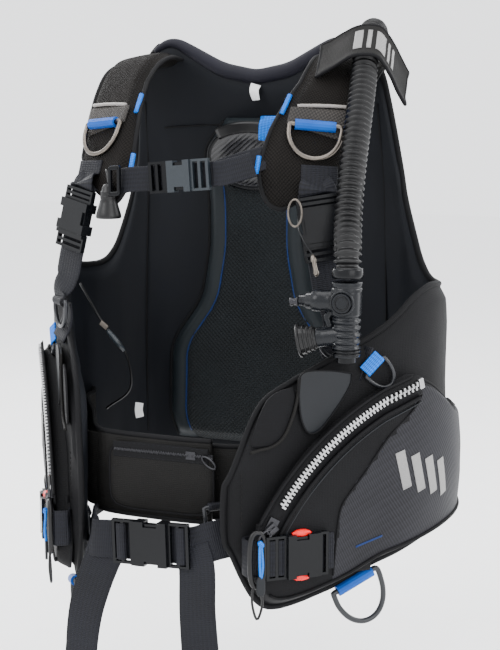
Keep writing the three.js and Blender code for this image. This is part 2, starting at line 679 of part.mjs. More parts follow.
function makeRings() {
  const strapOut = V(0.38, -0.84, 0.39).normalize();
  const sleeveRadius = RING.wire + RING_PLAY + SLEEVE_WALL;
  const chest = CHEST_RING_AT.clone().addScaledVector(strapOut, STRAP_THICK / 2 + sleeveRadius + GAP);
  const down = V(0.08, -0.4, -0.91).normalize();
  for (const [side, suffix] of [[leftSide, "_left"], [rightSide, "_right"]]) {
    addRing(side, "chest_ring", suffix, RING, chest, down, strapOut, 40);
  }
  for (const [side, suffix] of SIDES) {
    const u = U_SIDE + BOTTOM_RING_RUN[side];
    const slope = (height(BOTTOM, u + 20) - height(BOTTOM, u - 20)) / 40; // of the hem over the ring
    const hang = runAlong(side).multiplyScalar(slope).add(V(0, 0, -1)).normalize();
    const at = wrap(side * u, height(BOTTOM, u), SHELL_OUT - 3);
    at.addScaledVector(hang, BOTTOM_RING.wire + RING_PLAY + SLEEVE_WALL + 2 * GAP);
    addRing(vest, "bottom_ring", suffix, BOTTOM_RING, at, hang, runOut(side), 40);
  }
}

// ---------------------------------------------------------------- chest strap
const CHEST_MOUTH = V(-19, -247, 159);
const CHEST_ALONG = V(-0.991, 0.053, -0.09).normalize(); // towards the wearer's right
const CHEST_FACE = V(0, -1, 0.05);
const CHEST_TRAVEL = 50; // straight webbing that the prongs ride

function makeChestStrap() {
  const place = [CHEST_MOUTH, CHEST_ALONG, CHEST_FACE];
  const s = BUCKLES.chest;
  addBuckle(vest, "chest_buckle", "", s, ...place, [GREY_PLASTIC, PLASTIC]);
  const inFrame = behindBuckle(...place, -s.body - 2);
  const frameEnd = behindBuckle(...place, -s.body - s.socketFrame - 4);
  const leftLine = [inFrame, frameEnd, V(50, -241, 170), V(75.5, -216, 180)];
  add(vest, "chest_strap_left", ribbon(flat(leftLine, CHEST_FACE, CHEST_WEB), WEB), WEBBING);
  const ridden = flat([behindBuckle(...place, 5), behindBuckle(...place, CHEST_TRAVEL)], CHEST_FACE, CHEST_WEB);
  const turned = [
    [V(-76.5, -237, 152.6), V(-0.65, -0.76, 0), CHEST_WEB],
    [V(-79.3, -219, 152), V(-0.98, -0.18, 0), CHEST_WEB],
  ];
  add(vest, "chest_strap_right", ribbon([...ridden, ...turned], WEB), WEBBING);
}

// ---------------------------------------------------------------- waist strap
const WAIST_MOUTH = V(-16, -334, -188);
const WAIST_ALONG = V(-1, 0, -0.03).normalize();
const WAIST_FACE = V(0, -1, 0);
const WAIST_TRAVEL = 50;

// A strap behind the buckle's frame that runs to the lobe, with its loose tail turned down from the frame.
function waistWebbing(line, tail) {
  const across = ribbon(flat(line, WAIST_FACE, WAIST_WEB), WEB);
  const down = ribbon(flat(smooth(tail, 9), WAIST_FACE, WAIST_WEB), WEB);
  return carve([across, down]);
}

function makeWaistStrap() {
  const place = [WAIST_MOUTH, WAIST_ALONG, WAIST_FACE];
  const s = BUCKLES.waist;
  addBuckle(vest, "waist_buckle", "", s, ...place, [PLASTIC, PLASTIC]);
  const left = [behindBuckle(...place, -s.body - 2), behindBuckle(...place, -s.body - s.socketFrame - 4)];
  left.push(V(62, -328, -180), onRun(1, 112, -172, LINING_IN - 4));
  const frameLeft = behindBuckle(...place, -s.body - 22);
  const leftTail = [frameLeft, frameLeft.clone().add(V(6, 0, -18)), V(48, -334, -250), V(55, -338, -330), V(56, -338, -420)];
  add(vest, "waist_strap_left", waistWebbing(left, leftTail), WEBBING);
  const right = [behindBuckle(...place, 5), behindBuckle(...place, WAIST_TRAVEL), V(-72, -317, -188)];
  right.push(onRun(-1, 120, -186, LINING_IN - 4));
  const frameRight = behindBuckle(...place, 28);
  const rightTail = [frameRight, frameRight.clone().add(V(-12, 0, -22)), V(-72, -334, -262), V(-78, -337, -330), V(-75, -338, -420)];
  add(vest, "waist_strap_right", waistWebbing(right, rightTail), WEBBING);
}

// ---------------------------------------------------------------- waistband with its zipped pocket
const BELT_THICK = 5;
const BELT_FRONT_Y = -293;
const BELT_SIDE_GAP = 14; // between the lining and the band, where the band leaves the lining

// Plan line of one half: off the lining at the side, forward inside the lobe, and across the front.
function beltLine(side, reach, behind) {
  const from = [240, 268, 296, 322, 345, U_SIDE, U_SIDE + 40];
  const line = from.map((u, i) => {
    const off = i === 0 ? 0 : BELT_SIDE_GAP + behind;
    return wrap(side * u, 0, LINING_IN - BELT_THICK / 2 - off);
  });
  const front = [[80, 10], [56, 2], ...reach];
  for (const [x, y] of front) line.push(V(side * x, BELT_FRONT_Y + y + behind, 0));
  return line;
}

function beltSolid(line, low, high) {
  const along = directions(line, false);
  const face = (w) =>
    line.map((p, i) => {
      const out = V(along[i].y, -along[i].x, 0);
      if (out.dot(V(p.x, p.y + 150, 0)) < 0) out.negate();
      return [low, high].map((z) => p.clone().addScaledVector(out, w).setZ(z));
    });
  return between(face(BELT_THICK / 2), face(-BELT_THICK / 2));
}

function makeWaistband() {
  const overlap = BELT_THICK + 3;
  add(vest, "waistband_right", beltSolid(beltLine(-1, [[20, -1], [-20, -2], [-46, 0]], 0), -166, -92), NYLON);
  add(vest, "waistband_left", beltSolid(beltLine(1, [[16, 0]], overlap), -162, -98), NYLON);
  const faceY = BELT_FRONT_Y - 2 - BELT_THICK / 2 - GAP;
  const body = box(22, 32, faceY - 3.6, faceY, -110, -102);
  const tab = box(31, 50, faceY - 2.6, faceY - 0.6, -108, -104);
  add(vest, "waistband_zip_slider", carve([body, tab]), COATED_WIRE);
}

// ---------------------------------------------------------------- cargo pockets and weight pouches
const zipHeight = (run) => ZIP_HEIGHT + Math.sqrt(ZIP_RADIUS ** 2 - (run - ZIP_RUN) ** 2);
const POCKET_REAR = 212; // u of the pocket's rear edge
const POCKET_FRONT = U_SIDE + 136;
const POCKET_REAR_TOP = -66;
const POUCH_LOW = -224;
const POUCH_HIGH = -152;
const POUCH_START = 8; // run of the pouch's ends
const POUCH_END = 128;
const POUCH_BUCKLE_RUN = 74; // run of its buckle's mouth

// Top edge of the pocket: over the zip at the front, falling to the rear.
function pocketTop(u) {
  const arch = zipHeight(Math.max(u - U_SIDE, -50)) + 9;
  const rear = THREE.MathUtils.lerp(POCKET_REAR_TOP, arch, Math.min(1, (u - POCKET_REAR) / 90));
  return Math.min(arch, rear);
}

function makePockets() {
  const inside = COLUMNS.filter((u) => u >= POCKET_REAR && u <= U_SIDE);
  const columns = [...inside, U_SIDE + 1, ...[35, 70, 100, 120].map((run) => U_SIDE + run), POCKET_FRONT];
  const rows = 7;
  const inner = (u) => SHELL_OUT + GAP + (u > U_SIDE ? POUCH_THICK + GAP : 0);
  const outer = (u, rim) => (rim ? POCKET_OUT - 5 : POCKET_OUT);
  for (const [side, suffix] of SIDES) {
    const grid = (offset) =>
      columns.map((u, i) =>
        Array.from({ length: rows }, (_, j) => {
          const low = height(BOTTOM, u) + 6;
          const z = THREE.MathUtils.lerp(low, pocketTop(u), j / (rows - 1));
          const rim = i === 0 || i === columns.length - 1 || j === 0 || j === rows - 1;
          return wrap(side * u, z, offset(u, rim));
        }),
      );
    add(vest, "cargo_pocket" + suffix, between(grid(outer), grid(inner)), NYLON);
  }
}

// A pouch's own frame: +Y forward along the lobe, +Z outward, its origin on the shell.
function makeWeightPouches() {
  const middle = (POUCH_LOW + POUCH_HIGH) / 2;
  const half = (POUCH_HIGH - POUCH_LOW) / 2 - 6;
  const s = BUCKLES.pouch;
  const face = POCKET_OUT - SHELL_OUT; // of the pocket, above the pouch's origin
  const socketFront = POUCH_BUCKLE_RUN + s.body + s.socketFrame;
  const buckleLift = face + s.thick / 2 + GAP;
  const webLift = buckleLift - BEHIND_FRAME;
  for (const [side, suffix] of SIDES) {
    const group = placed(vest, onRun(side, 0, middle, SHELL_OUT + GAP), runAlong(side), runOut(side));
    // the pull turns back round the pocket's front edge onto its face, behind the socket's frame
    const pouch = box(-half, half, POUCH_START, POUCH_END, 0.2, POUCH_THICK);
    const tongue = box(-POUCH_WEB / 2, POUCH_WEB / 2, POUCH_END - 2, 142, 0.2, 3);
    const fold = box(-POUCH_WEB / 2, POUCH_WEB / 2, 139, 142, 1, webLift + WEB / 2);
    const pull = box(-POUCH_WEB / 2, POUCH_WEB / 2, socketFront - 14, 142, webLift - WEB / 2, webLift + WEB / 2);
    add(group, "weight_pouch" + suffix, carve([pouch, tongue, fold, pull]), NYLON);
    const place = [V(0, POUCH_BUCKLE_RUN, buckleLift), V(0, -1, 0), V(0, 0, 1)];
    addBuckle(group, "pouch_buckle", suffix, s, ...place, [GREY_PLASTIC, RED_PLASTIC]);
  }
}

// Zip sliders ride the arc of the pocket's zip, on the pocket's face.
function makeZipSliders() {
  const z = zipHeight(ZIP_END_RUN);
  for (const [side, suffix] of SIDES) {
    const forward = runAlong(side);
    const radial = V(0, 0, z - ZIP_HEIGHT).addScaledVector(forward, ZIP_END_RUN - ZIP_RUN).normalize();
    const along = radial.clone().cross(runOut(side)).normalize();
    if (along.dot(forward) < 0) along.negate();
    const group = placed(vest, onRun(side, ZIP_END_RUN, z, POCKET_OUT + GAP), along, runOut(side));
    const body = box(-5, 5, -8, 6, 0, 4);
    const neck = box(-1.5, 1.5, 2, 8, 3, 5.4);
    add(group, "zip_slider" + suffix, carve([body, neck]), COATED_WIRE);
  }
}

// ---------------------------------------------------------------- hose, elbow, cover and inflator
const HOSE_LINE = [
  V(112, -19, 238), V(122, -32, 272), V(133, -61, 299.4), V(139, -92, 301), V(145, -126, 284),
  V(152, -160, 248), V(158, -194, 208), V(163, -226, 162), V(168, -250, 120), V(174.5, -270, 92), V(175.5, -273, 70),
];
const HOSE_END = HOSE_LINE[HOSE_LINE.length - 1];
const INFLATOR_TOP = HOSE_END.z - 2.8;
const ELBOW_U = 106;
const ELBOW_Z = 212;

function makeHose() {
  const curve = new THREE.CatmullRomCurve3(HOSE_LINE, false, "centripetal");
  const section = new THREE.Shape().absarc(0, 0, HOSE_RADIUS, 0, 2 * Math.PI);
  const settings = { steps: 16, extrudePath: curve, curveSegments: 6, bevelEnabled: false };
  add(vest, "inflator_hose", new THREE.ExtrudeGeometry(section, settings), RUBBER);
  const start = HOSE_LINE[0];
  const up = curve.getTangent(0);
  const out = outwardAt(ELBOW_U, ELBOW_Z);
  const seat = wrap(ELBOW_U, ELBOW_Z, SHELL_OUT).addScaledVector(out, GAP);
  const along = (distance) => seat.clone().addScaledVector(out, distance);
  const neck = HOSE_RADIUS + 1;
  const centre = along(21);
  add(
    vest,
    "hose_elbow",
    carve([
      rod(seat, along(5), 21, 20, 20),
      rod(along(4), centre, neck, neck, 16),
      new THREE.SphereGeometry(neck, 14, 8).translate(...centre.toArray()),
      rod(centre, start.clone().addScaledVector(up, -12), neck, neck, 16),
      rod(start.clone().addScaledVector(up, -18), start.clone().addScaledVector(up, -GAP), neck, neck, 16),
    ]),
    PLASTIC,
  );
}

// The cloth cover that folds over the hose on the shoulder, in the hose's own frame there.
function makeHoseCover() {
  const centre = V(146.5, -132, 278.5);
  const down = V(0.17, -0.78, -0.6).normalize(); // along the hose
  const across = V(1, 0.2, 0.02).addScaledVector(down, -V(1, 0.2, 0.02).dot(down)).normalize();
  const above = across.clone().cross(down).negate();
  if (above.z < 0) above.negate();
  const at = (s, n) => centre.clone().addScaledVector(across, s).addScaledVector(above, n);
  const profile = [[-48, -8], [-34, 0], [-22, 8], [-12, 14], [0, 16.2], [12, 14], [18.5, 4], [24, -10], [30, -28], [36, -44]];
  const line = profile.map(([s, n]) => at(s, n));
  const along = directions(line, false);
  const stations = line.map((p, i) => [p, down.clone().cross(along[i]).negate(), 48]);
  add(vest, "hose_cover", ribbon(stations, 2.6), NYLON);
}

function makeInflator() {
  const top = V(HOSE_END.x, HOSE_END.y, INFLATOR_TOP);
  const group = new THREE.Group();
  group.position.copy(top);
  vest.add(group);
  const length = 70;
  const inflateAt = -18; // height of the inflate button
  const mouthAt = -50;
  const bodyShape = roundedShape(-13.5, 13.5, -length, -9, 5);
  const body = plate(bodyShape, -14.5, 12.5, 3);
  const collar = rod(V(0, 0, -10), V(0, 0, 0), 15, 15, 20);
  const inlet = rod(V(-10, -2, inflateAt), V(-34, -4, inflateAt - 1), 9, 6, 14);
  const nipple = rod(V(-33, -4, inflateAt - 1), V(-47, -5, inflateAt - 2), 4.4, 3.8, 12);
  const arm = rod(V(-10, 0, mouthAt), V(-28, -4, mouthAt - 3), 9, 10, 14);
  const strut = box(-30, -8, -3.4, 0, -8, -4.6);
  const strutSlant = rod(V(-28, -2, -7), V(-30, -3, inflateAt + 5), 2.2, 2.2, 8);
  const buttonWell = rod(V(0, -15.5, inflateAt), V(0, -8, inflateAt), 9.6, 9.6, 20);
  const dumpWell = rod(V(0, -1, -length - 1), V(0, -1, -length + 7), 9.6, 9.6, 20);
  const innerBore = rod(V(0, 0, -3), V(0, 0, 1), 9, 9, 12);
  add(
    group,
    "inflator_body",
    carve([body, collar, inlet, nipple, arm, strut, strutSlant], [buttonWell, dumpWell, innerBore]),
    GREY_PLASTIC,
  );
  add(group, "inflate_button", rod(V(0, -17, inflateAt), V(0, -11.4, inflateAt), 9.2, 9.2, 20), GREY_PLASTIC);
  add(group, "deflate_button", rod(V(0, -1, -length - 5.5), V(0, -1, -length + 3.4), 9.2, 9.2, 20), PLASTIC);
  add(group, "mouthpiece", rod(V(-28.6, -4.1, mouthAt - 3.4), V(-46, -8, mouthAt - 7), 10.2, 15, 16), RUBBER);
}

// ---------------------------------------------------------------- dump valve toggle and rear dump valve
const REAR_DUMP = [-160, -128]; // its u and height
function makeDumpValves() {
  // the pull cord comes out under the wearer's right shoulder strap and ends in this bell
  const top = V(-91, -236.6, 150);
  const profile = [[0, 0], [4.5, 0], [6.5, -6], [14, -26], [15.5, -31], [13, -35], [0, -35], [0, 0]].map(([r, y]) => new THREE.Vector2(r, y));
  const bell = placed(vest, top, V(0, 0, 1), V(0, -1, 0));
  add(bell, "dump_toggle", new THREE.LatheGeometry(profile.reverse(), 18), RUBBER);
  const [u, z] = REAR_DUMP;
  const out = outwardAt(u, z);
  const seat = wrap(u, z, SHELL_OUT).addScaledVector(out, GAP);
  add(
    vest,
    "rear_dump_valve",
    carve([
      rod(seat, seat.clone().addScaledVector(out, 4), 24, 23, 24),
      rod(seat.clone().addScaledVector(out, 3), seat.clone().addScaledVector(out, 11), 18, 15, 20),
    ]),
    PLASTIC,
  );
}

makeJacket();
makeBackPad();
makeBackpack();
makeBand();
makeCamBuckle();
makeCarryHandle();
makeShoulderStraps();
makeRings();
makeShoulderBuckles();
makeChestStrap();
makeWaistStrap();
makeWaistband();
makePockets();
makeWeightPouches();
makeZipSliders();
makeHose();
makeHoseCover();
makeInflator();
makeDumpValves();

export default vest;
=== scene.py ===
"""Looks of the buoyancy vest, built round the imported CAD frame.

Metres, +Z up, the wearer faces -Y and the wearer's left is +X. Sizes below are in millimetres
and become metres where a mesh is made.
"""

import math

import bmesh
import bpy
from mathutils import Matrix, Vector, noise


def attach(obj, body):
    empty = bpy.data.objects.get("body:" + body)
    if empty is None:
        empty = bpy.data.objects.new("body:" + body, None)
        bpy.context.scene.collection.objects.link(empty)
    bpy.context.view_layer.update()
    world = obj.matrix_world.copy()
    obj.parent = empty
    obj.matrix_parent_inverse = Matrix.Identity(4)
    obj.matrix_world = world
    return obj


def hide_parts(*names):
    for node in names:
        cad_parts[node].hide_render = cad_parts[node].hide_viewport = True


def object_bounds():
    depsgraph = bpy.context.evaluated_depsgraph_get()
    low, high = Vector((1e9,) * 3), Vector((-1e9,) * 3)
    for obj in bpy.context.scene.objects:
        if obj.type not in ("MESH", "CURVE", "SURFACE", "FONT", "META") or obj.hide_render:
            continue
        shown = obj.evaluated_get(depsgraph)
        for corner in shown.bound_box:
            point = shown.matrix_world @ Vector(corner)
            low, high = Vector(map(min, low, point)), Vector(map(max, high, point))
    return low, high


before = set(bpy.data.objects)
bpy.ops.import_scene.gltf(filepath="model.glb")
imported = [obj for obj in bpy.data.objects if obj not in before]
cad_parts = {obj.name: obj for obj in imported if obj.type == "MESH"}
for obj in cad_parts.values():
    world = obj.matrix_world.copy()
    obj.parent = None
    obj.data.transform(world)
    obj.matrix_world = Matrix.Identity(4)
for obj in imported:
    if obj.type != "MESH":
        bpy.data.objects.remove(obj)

CAD_BOX = [list(p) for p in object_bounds()]
MM = 0.001
SIDES = ((1, "left"), (-1, "right"))


def V(x, y, z):
    return Vector((x, y, z))


def turns(count):
    """Angles spaced evenly round a full turn."""
    return [2 * math.pi * k / count for k in range(count)]


# ------------------------------------------------------------------ camera, lights and floor, in metres
AZIMUTH, ELEVATION = math.radians(22), math.radians(9)
DISTANCE, LENS = 1.65, 87.5
TARGET = V(0.028, -0.150, 0.0)
LIGHT_AIM = V(0, -0.12, 0.0)
LIGHTS = [  # name, place, size and power
    ("key", (-1.3, -1.9, 1.6), 1.5, 50),
    ("fill", (1.9, -1.5, 0.7), 1.6, 34),
    ("top", (0.1, -0.3, 2.0), 1.6, 30),
    ("rim_left", (-1.7, 0.7, 0.9), 1.0, 26),
    ("rim_right", (1.8, 0.6, 1.0), 1.0, 26),
]
SKY, SKY_STRENGTH = (0.97, 0.98, 1.0, 1), 2.3
FLOOR_DROP, FLOOR_HALF = 0.012, 6.0


def make_stage():
    flat = math.cos(ELEVATION)
    back = V(math.sin(AZIMUTH) * flat, -math.cos(AZIMUTH) * flat, math.sin(ELEVATION))
    camera = bpy.data.objects.new("camera", bpy.data.cameras.new("camera"))
    camera.data.lens = LENS
    camera.data.clip_start = 0.05
    camera.data.clip_end = 50
    camera.location = TARGET + back * DISTANCE
    camera.rotation_mode = "QUATERNION"
    camera.rotation_quaternion = (-back).to_track_quat("-Z", "Y")
    bpy.context.scene.collection.objects.link(camera)
    bpy.context.scene.camera = camera

    for name, place, size, power in LIGHTS:
        data = bpy.data.lights.new(name, "AREA")
        data.energy = power
        data.size = size
        lamp = bpy.data.objects.new(name, data)
        lamp.location = place
        aim = LIGHT_AIM - lamp.location
        lamp.rotation_mode = "QUATERNION"
        lamp.rotation_quaternion = aim.to_track_quat("-Z", "Y")
        bpy.context.scene.collection.objects.link(lamp)

    world = bpy.data.worlds.new("studio")
    world.use_nodes = True
    sky = world.node_tree.nodes["Background"]
    sky.inputs["Color"].default_value = SKY
    sky.inputs["Strength"].default_value = SKY_STRENGTH
    bpy.context.scene.world = world

    low = CAD_BOX[0][2] - FLOOR_DROP
    corners = [(x * FLOOR_HALF, y * FLOOR_HALF, low) for x, y in ((-1, -1), (1, -1), (1, 1), (-1, 1))]
    floor = bpy.data.objects.new("floor", bpy.data.meshes.new("floor"))
    floor.data.from_pydata(corners, [], [(0, 1, 2, 3)])
    bpy.context.scene.collection.objects.link(floor)
    floor.data.materials.append(MATERIALS["floor"])


# ------------------------------------------------------------------ materials
MATERIALS = {}


def link(tree, source, target):
    tree.links.new(source, target)


def math_node(tree, operation, a, b, c=None):
    n = tree.nodes.new("ShaderNodeMath")
    n.operation = operation
    for i, value in enumerate((a, b, c)):
        if value is None:
            continue
        if isinstance(value, (int, float)):
            n.inputs[i].default_value = value
        else:
            link(tree, value, n.inputs[i])
    return n.outputs[0]


WAVE_PERIOD = 0.314159  # a wave texture's own period at scale 1, in metres


def waves(tree, coords, direction, period, profile="SIN", distortion=0.0):
    n = tree.nodes.new("ShaderNodeTexWave")
    n.wave_type = "BANDS"
    n.bands_direction = direction
    n.wave_profile = profile
    n.inputs["Scale"].default_value = WAVE_PERIOD / (period * MM)
    n.inputs["Distortion"].default_value = distortion
    link(tree, coords, n.inputs["Vector"])
    return n.outputs["Fac"]


def cells(tree, coords, size, randomness=1.0, flat=False):
    n = tree.nodes.new("ShaderNodeTexVoronoi")
    n.voronoi_dimensions = "2D" if flat else "3D"
    n.inputs["Scale"].default_value = 1 / (size * MM)
    n.inputs["Randomness"].default_value = randomness
    link(tree, coords, n.inputs["Vector"])
    return n.outputs["Distance"]


def cloud(tree, coords, size, detail=3.0):
    n = tree.nodes.new("ShaderNodeTexNoise")
    n.inputs["Scale"].default_value = 1 / (size * MM)
    n.inputs["Detail"].default_value = detail
    link(tree, coords, n.inputs["Vector"])
    return n.outputs["Fac"]


def turned(tree, coords, degrees):
    n = tree.nodes.new("ShaderNodeMapping")
    n.inputs["Rotation"].default_value = (0, 0, math.radians(degrees))
    link(tree, coords, n.inputs["Vector"])
    return n.outputs["Vector"]


def pattern(tree, kind, uv, place, size):
    """A height from 0 to 1 for a kind of surface, from coordinates in metres."""
    if kind == "cordura":  # coarse plain weave, irregular
        weave = math_node(tree, "MULTIPLY", waves(tree, uv, "X", size), waves(tree, uv, "Y", size))
        scaled = math_node(tree, "MULTIPLY", weave, 0.6)
        return math_node(tree, "MULTIPLY_ADD", cloud(tree, place, 1.4), 0.6, scaled)
    if kind == "spacer":  # air mesh with rows of small holes
        holes = cells(tree, turned(tree, uv, 45), size, 0.08, True)
        return math_node(tree, "SUBTRACT", 1.0, math_node(tree, "MULTIPLY", holes, 1.5))
    if kind == "ripstop":  # fine diagonal ribs with a stronger cross thread
        a = waves(tree, turned(tree, uv, 28), "X", size)
        b = waves(tree, turned(tree, uv, 28), "Y", size * 3.2, "SAW")
        return math_node(tree, "MULTIPLY_ADD", b, 0.25, math_node(tree, "MULTIPLY", a, 0.75))
    if kind == "webbing":  # ribs across, with the two edge cords of woven tape
        a = waves(tree, uv, "X", size, "SIN", 0.4)
        b = waves(tree, uv, "Y", size * 2.2)
        return math_node(tree, "MULTIPLY_ADD", b, 0.35, math_node(tree, "MULTIPLY", a, 0.65))
    if kind == "carbon":  # broken diagonal stripes of a carbon look
        a = waves(tree, turned(tree, uv, 52), "X", size, "SIN", 1.2)
        b = cloud(tree, turned(tree, uv, 52), size * 3)
        return math_node(tree, "MULTIPLY", a, b)
    if kind == "neoprene":
        return cloud(tree, place, 0.9, 2.0)
    if kind == "brushed":
        return cloud(tree, turned(tree, place, 30), size, 6.0)
    if kind == "grain":  # fine moulded grain
        return cells(tree, place, size)
    raise ValueError(kind)


def material(name, dark, light, kind, size, rough, bump, depth=0.4, metallic=0.0, level=0.5):
    """A procedural finish: colour and roughness follow a pattern and a broad cloud, bump the pattern."""
    made = bpy.data.materials.new(name)
    made.use_nodes = True
    tree = made.node_tree
    shader = tree.nodes["Principled BSDF"]
    coordinates = tree.nodes.new("ShaderNodeTexCoord")
    uv, place = coordinates.outputs["UV"], coordinates.outputs["Object"]
    height = pattern(tree, kind, uv, place, size)
    broad = cloud(tree, place, 55, 4.0)
    mixed = math_node(tree, "MULTIPLY_ADD", height, 0.55, math_node(tree, "MULTIPLY", broad, 0.5))
    ramp = tree.nodes.new("ShaderNodeValToRGB")
    for end, position, colour in zip(ramp.color_ramp.elements, (0.18, 0.82), (dark, light)):
        end.position = position
        end.color = (*colour, 1)
    link(tree, mixed, ramp.inputs["Fac"])
    link(tree, ramp.outputs["Color"], shader.inputs["Base Color"])
    spread_rough = tree.nodes.new("ShaderNodeMapRange")
    spread_rough.inputs["To Min"].default_value = rough[0]
    spread_rough.inputs["To Max"].default_value = rough[1]
    link(tree, mixed, spread_rough.inputs["Value"])
    link(tree, spread_rough.outputs["Result"], shader.inputs["Roughness"])
    bumped = tree.nodes.new("ShaderNodeBump")
    bumped.inputs["Strength"].default_value = bump
    bumped.inputs["Distance"].default_value = depth * MM
    link(tree, height, bumped.inputs["Height"])
    link(tree, bumped.outputs["Normal"], shader.inputs["Normal"])
    shader.inputs["Metallic"].default_value = metallic
    shader.inputs["Specular IOR Level"].default_value = level
    MATERIALS[name] = made


def make_materials():
    material("floor", (0.92, 0.92, 0.92), (0.96, 0.96, 0.96), "neoprene", 1, (0.75, 0.9), 0.02)
    material("lining", (0.001, 0.0013, 0.0022), (0.0035, 0.0045, 0.007),
             "neoprene", 1, (0.5, 0.8), 0.25, level=0.14)
    material("neoprene", (0.001, 0.001, 0.003), (0.006, 0.006, 0.012),
             "neoprene", 1, (0.55, 0.8), 0.2, level=0.2)
    material("cordura", (0.0006, 0.0006, 0.0006), (0.010, 0.0095, 0.009),
             "cordura", 1.9, (0.5, 0.9), 0.9, level=0.12)
    material("pad_mesh", (0.0004, 0.0004, 0.0004), (0.011, 0.0095, 0.0085),
             "spacer", 2.5, (0.6, 0.95), 1.0, depth=0.9, level=0.07)
    material("shell", (0.0006, 0.0006, 0.0008), (0.006, 0.006, 0.007),
             "cordura", 1.6, (0.5, 0.85), 0.7, level=0.11)
    material("ripstop", (0.002, 0.002, 0.0028), (0.017, 0.017, 0.021),
             "ripstop", 2.4, (0.4, 0.7), 0.6, level=0.16)
    material("spacer", (0.0004, 0.0006, 0.0008), (0.008, 0.011, 0.013),
             "spacer", 3.4, (0.5, 0.85), 1.0, depth=1.0, level=0.15)
    material("side_strip", (0.002, 0.0035, 0.0045), (0.007, 0.011, 0.014),
             "neoprene", 1, (0.45, 0.65), 0.2, level=0.22)
    material("strap_mesh", (0.002, 0.002, 0.002), (0.045, 0.040, 0.036),
             "spacer", 2.7, (0.5, 0.9), 1.0, depth=0.8, level=0.2)
    material("tape", (0.0005, 0.0005, 0.0006), (0.004, 0.004, 0.005),
             "webbing", 1.3, (0.5, 0.85), 0.5, level=0.12)
    material("webbing", (0.0006, 0.0007, 0.0012), (0.0085, 0.009, 0.013),
             "webbing", 1.9, (0.45, 0.8), 0.9, depth=0.5, level=0.15)
    material("blue_web", (0.0, 0.045, 0.24), (0.0, 0.16, 0.68),
             "webbing", 1.7, (0.4, 0.65), 0.9, depth=0.5, level=0.15)
    material("blue_piping", (0.0, 0.006, 0.03), (0.0, 0.022, 0.12), "neoprene", 1, (0.4, 0.6), 0.2, level=0.2)
    material("blue_cord", (0.0, 0.045, 0.22), (0.0, 0.15, 0.60), "webbing", 1.4, (0.4, 0.6), 0.5, level=0.2)
    material("plastic", (0.0008, 0.0008, 0.0012), (0.0035, 0.004, 0.005),
             "grain", 0.8, (0.14, 0.3), 0.10, level=0.16)
    material("grey_plastic", (0.006, 0.009, 0.012), (0.016, 0.021, 0.026),
             "grain", 0.8, (0.25, 0.4), 0.12, level=0.35)
    material("controls", (0.001, 0.0013, 0.002), (0.006, 0.007, 0.009),
             "grain", 0.9, (0.18, 0.32), 0.10, level=0.2)
    material("red_plastic", (0.42, 0.0008, 0.0015), (0.72, 0.002, 0.003),
             "grain", 1.2, (0.2, 0.32), 0.06, level=0.3)
    material("rubber", (0.0006, 0.0006, 0.0008), (0.0035, 0.0035, 0.004),
             "neoprene", 1, (0.28, 0.42), 0.12, level=0.26)
    material("steel", (0.06, 0.053, 0.047), (0.17, 0.15, 0.13),
             "brushed", 2.0, (0.25, 0.4), 0.05, metallic=1.0)
    material("coated_wire", (0.004, 0.0045, 0.006), (0.014, 0.015, 0.018),
             "grain", 0.7, (0.25, 0.4), 0.08, level=0.35)
    material("silver", (0.20, 0.20, 0.21), (0.50, 0.50, 0.50),
             "brushed", 1.0, (0.2, 0.35), 0.06, metallic=0.9)
    material("zip_dark", (0.004, 0.004, 0.005), (0.03, 0.03, 0.034),
             "brushed", 1.0, (0.22, 0.36), 0.08, metallic=0.7)
    material("reflective", (0.10, 0.09, 0.085), (0.26, 0.24, 0.22), "cordura", 1.1, (0.3, 0.45), 0.3)
    material("patch", (0.002, 0.0025, 0.0035), (0.008, 0.0095, 0.012),
             "neoprene", 1, (0.4, 0.55), 0.15, level=0.2)
    material("stripe", (0.09, 0.09, 0.09), (0.24, 0.235, 0.23), "cordura", 1.2, (0.4, 0.6), 0.25)
    material("label", (0.45, 0.45, 0.46), (0.68, 0.68, 0.68), "webbing", 1.0, (0.5, 0.7), 0.15)
    material("carbon", (0.0005, 0.0005, 0.0008), (0.03, 0.03, 0.034),
             "carbon", 4.0, (0.12, 0.26), 0.25, level=0.4)


# ------------------------------------------------------------------ mesh tools
def new_piece(name, points, faces, finish, uv=None, kinds=None, body="vest", smooth=True):
    """A mesh from points in millimetres. finish is a material, or a list that kinds picks from by face."""
    mesh = bpy.data.meshes.new(name)
    mesh.from_pydata([tuple(p * MM) for p in points], [], faces)
    finishes = [finish] if isinstance(finish, str) else finish
    for f in finishes:
        mesh.materials.append(MATERIALS[f])
    if kinds:
        for face, k in zip(mesh.polygons, kinds):
            face.material_index = k
    layer = mesh.uv_layers.new(name="weave")
    for loop in mesh.loops:
        here = points[loop.vertex_index]
        u, v = uv[loop.vertex_index] if uv else (here.x, here.z)
        layer.data[loop.index].uv = (u * MM, v * MM)
    if smooth:
        mesh.shade_smooth()
    mesh.validate()
    facing = bmesh.new()
    facing.from_mesh(mesh)
    bmesh.ops.recalc_face_normals(facing, faces=facing.faces)
    facing.to_mesh(mesh)
    facing.free()
    piece = bpy.data.objects.new(name, mesh)
    bpy.context.scene.collection.objects.link(piece)
    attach(piece, body)
    return piece


def rounded(piece, width, segments=2, angle=32):
    """Bevels a piece's hard edges, those sharper than the angle."""
    bevel = piece.modifiers.new("rounded", "BEVEL")
    bevel.width = width * MM
    bevel.segments = segments
    bevel.limit_method = "ANGLE"
    bevel.angle_limit = math.radians(angle)
    return piece


def thicken(piece, thickness):
    """Gives a thin sheet its thickness, half to each side."""
    solid = piece.modifiers.new("thick", "SOLIDIFY")
    solid.thickness = thickness * MM
    solid.offset = 0


SPLINE_STEPS = 24  # fine steps between two knots, before the points are spaced evenly


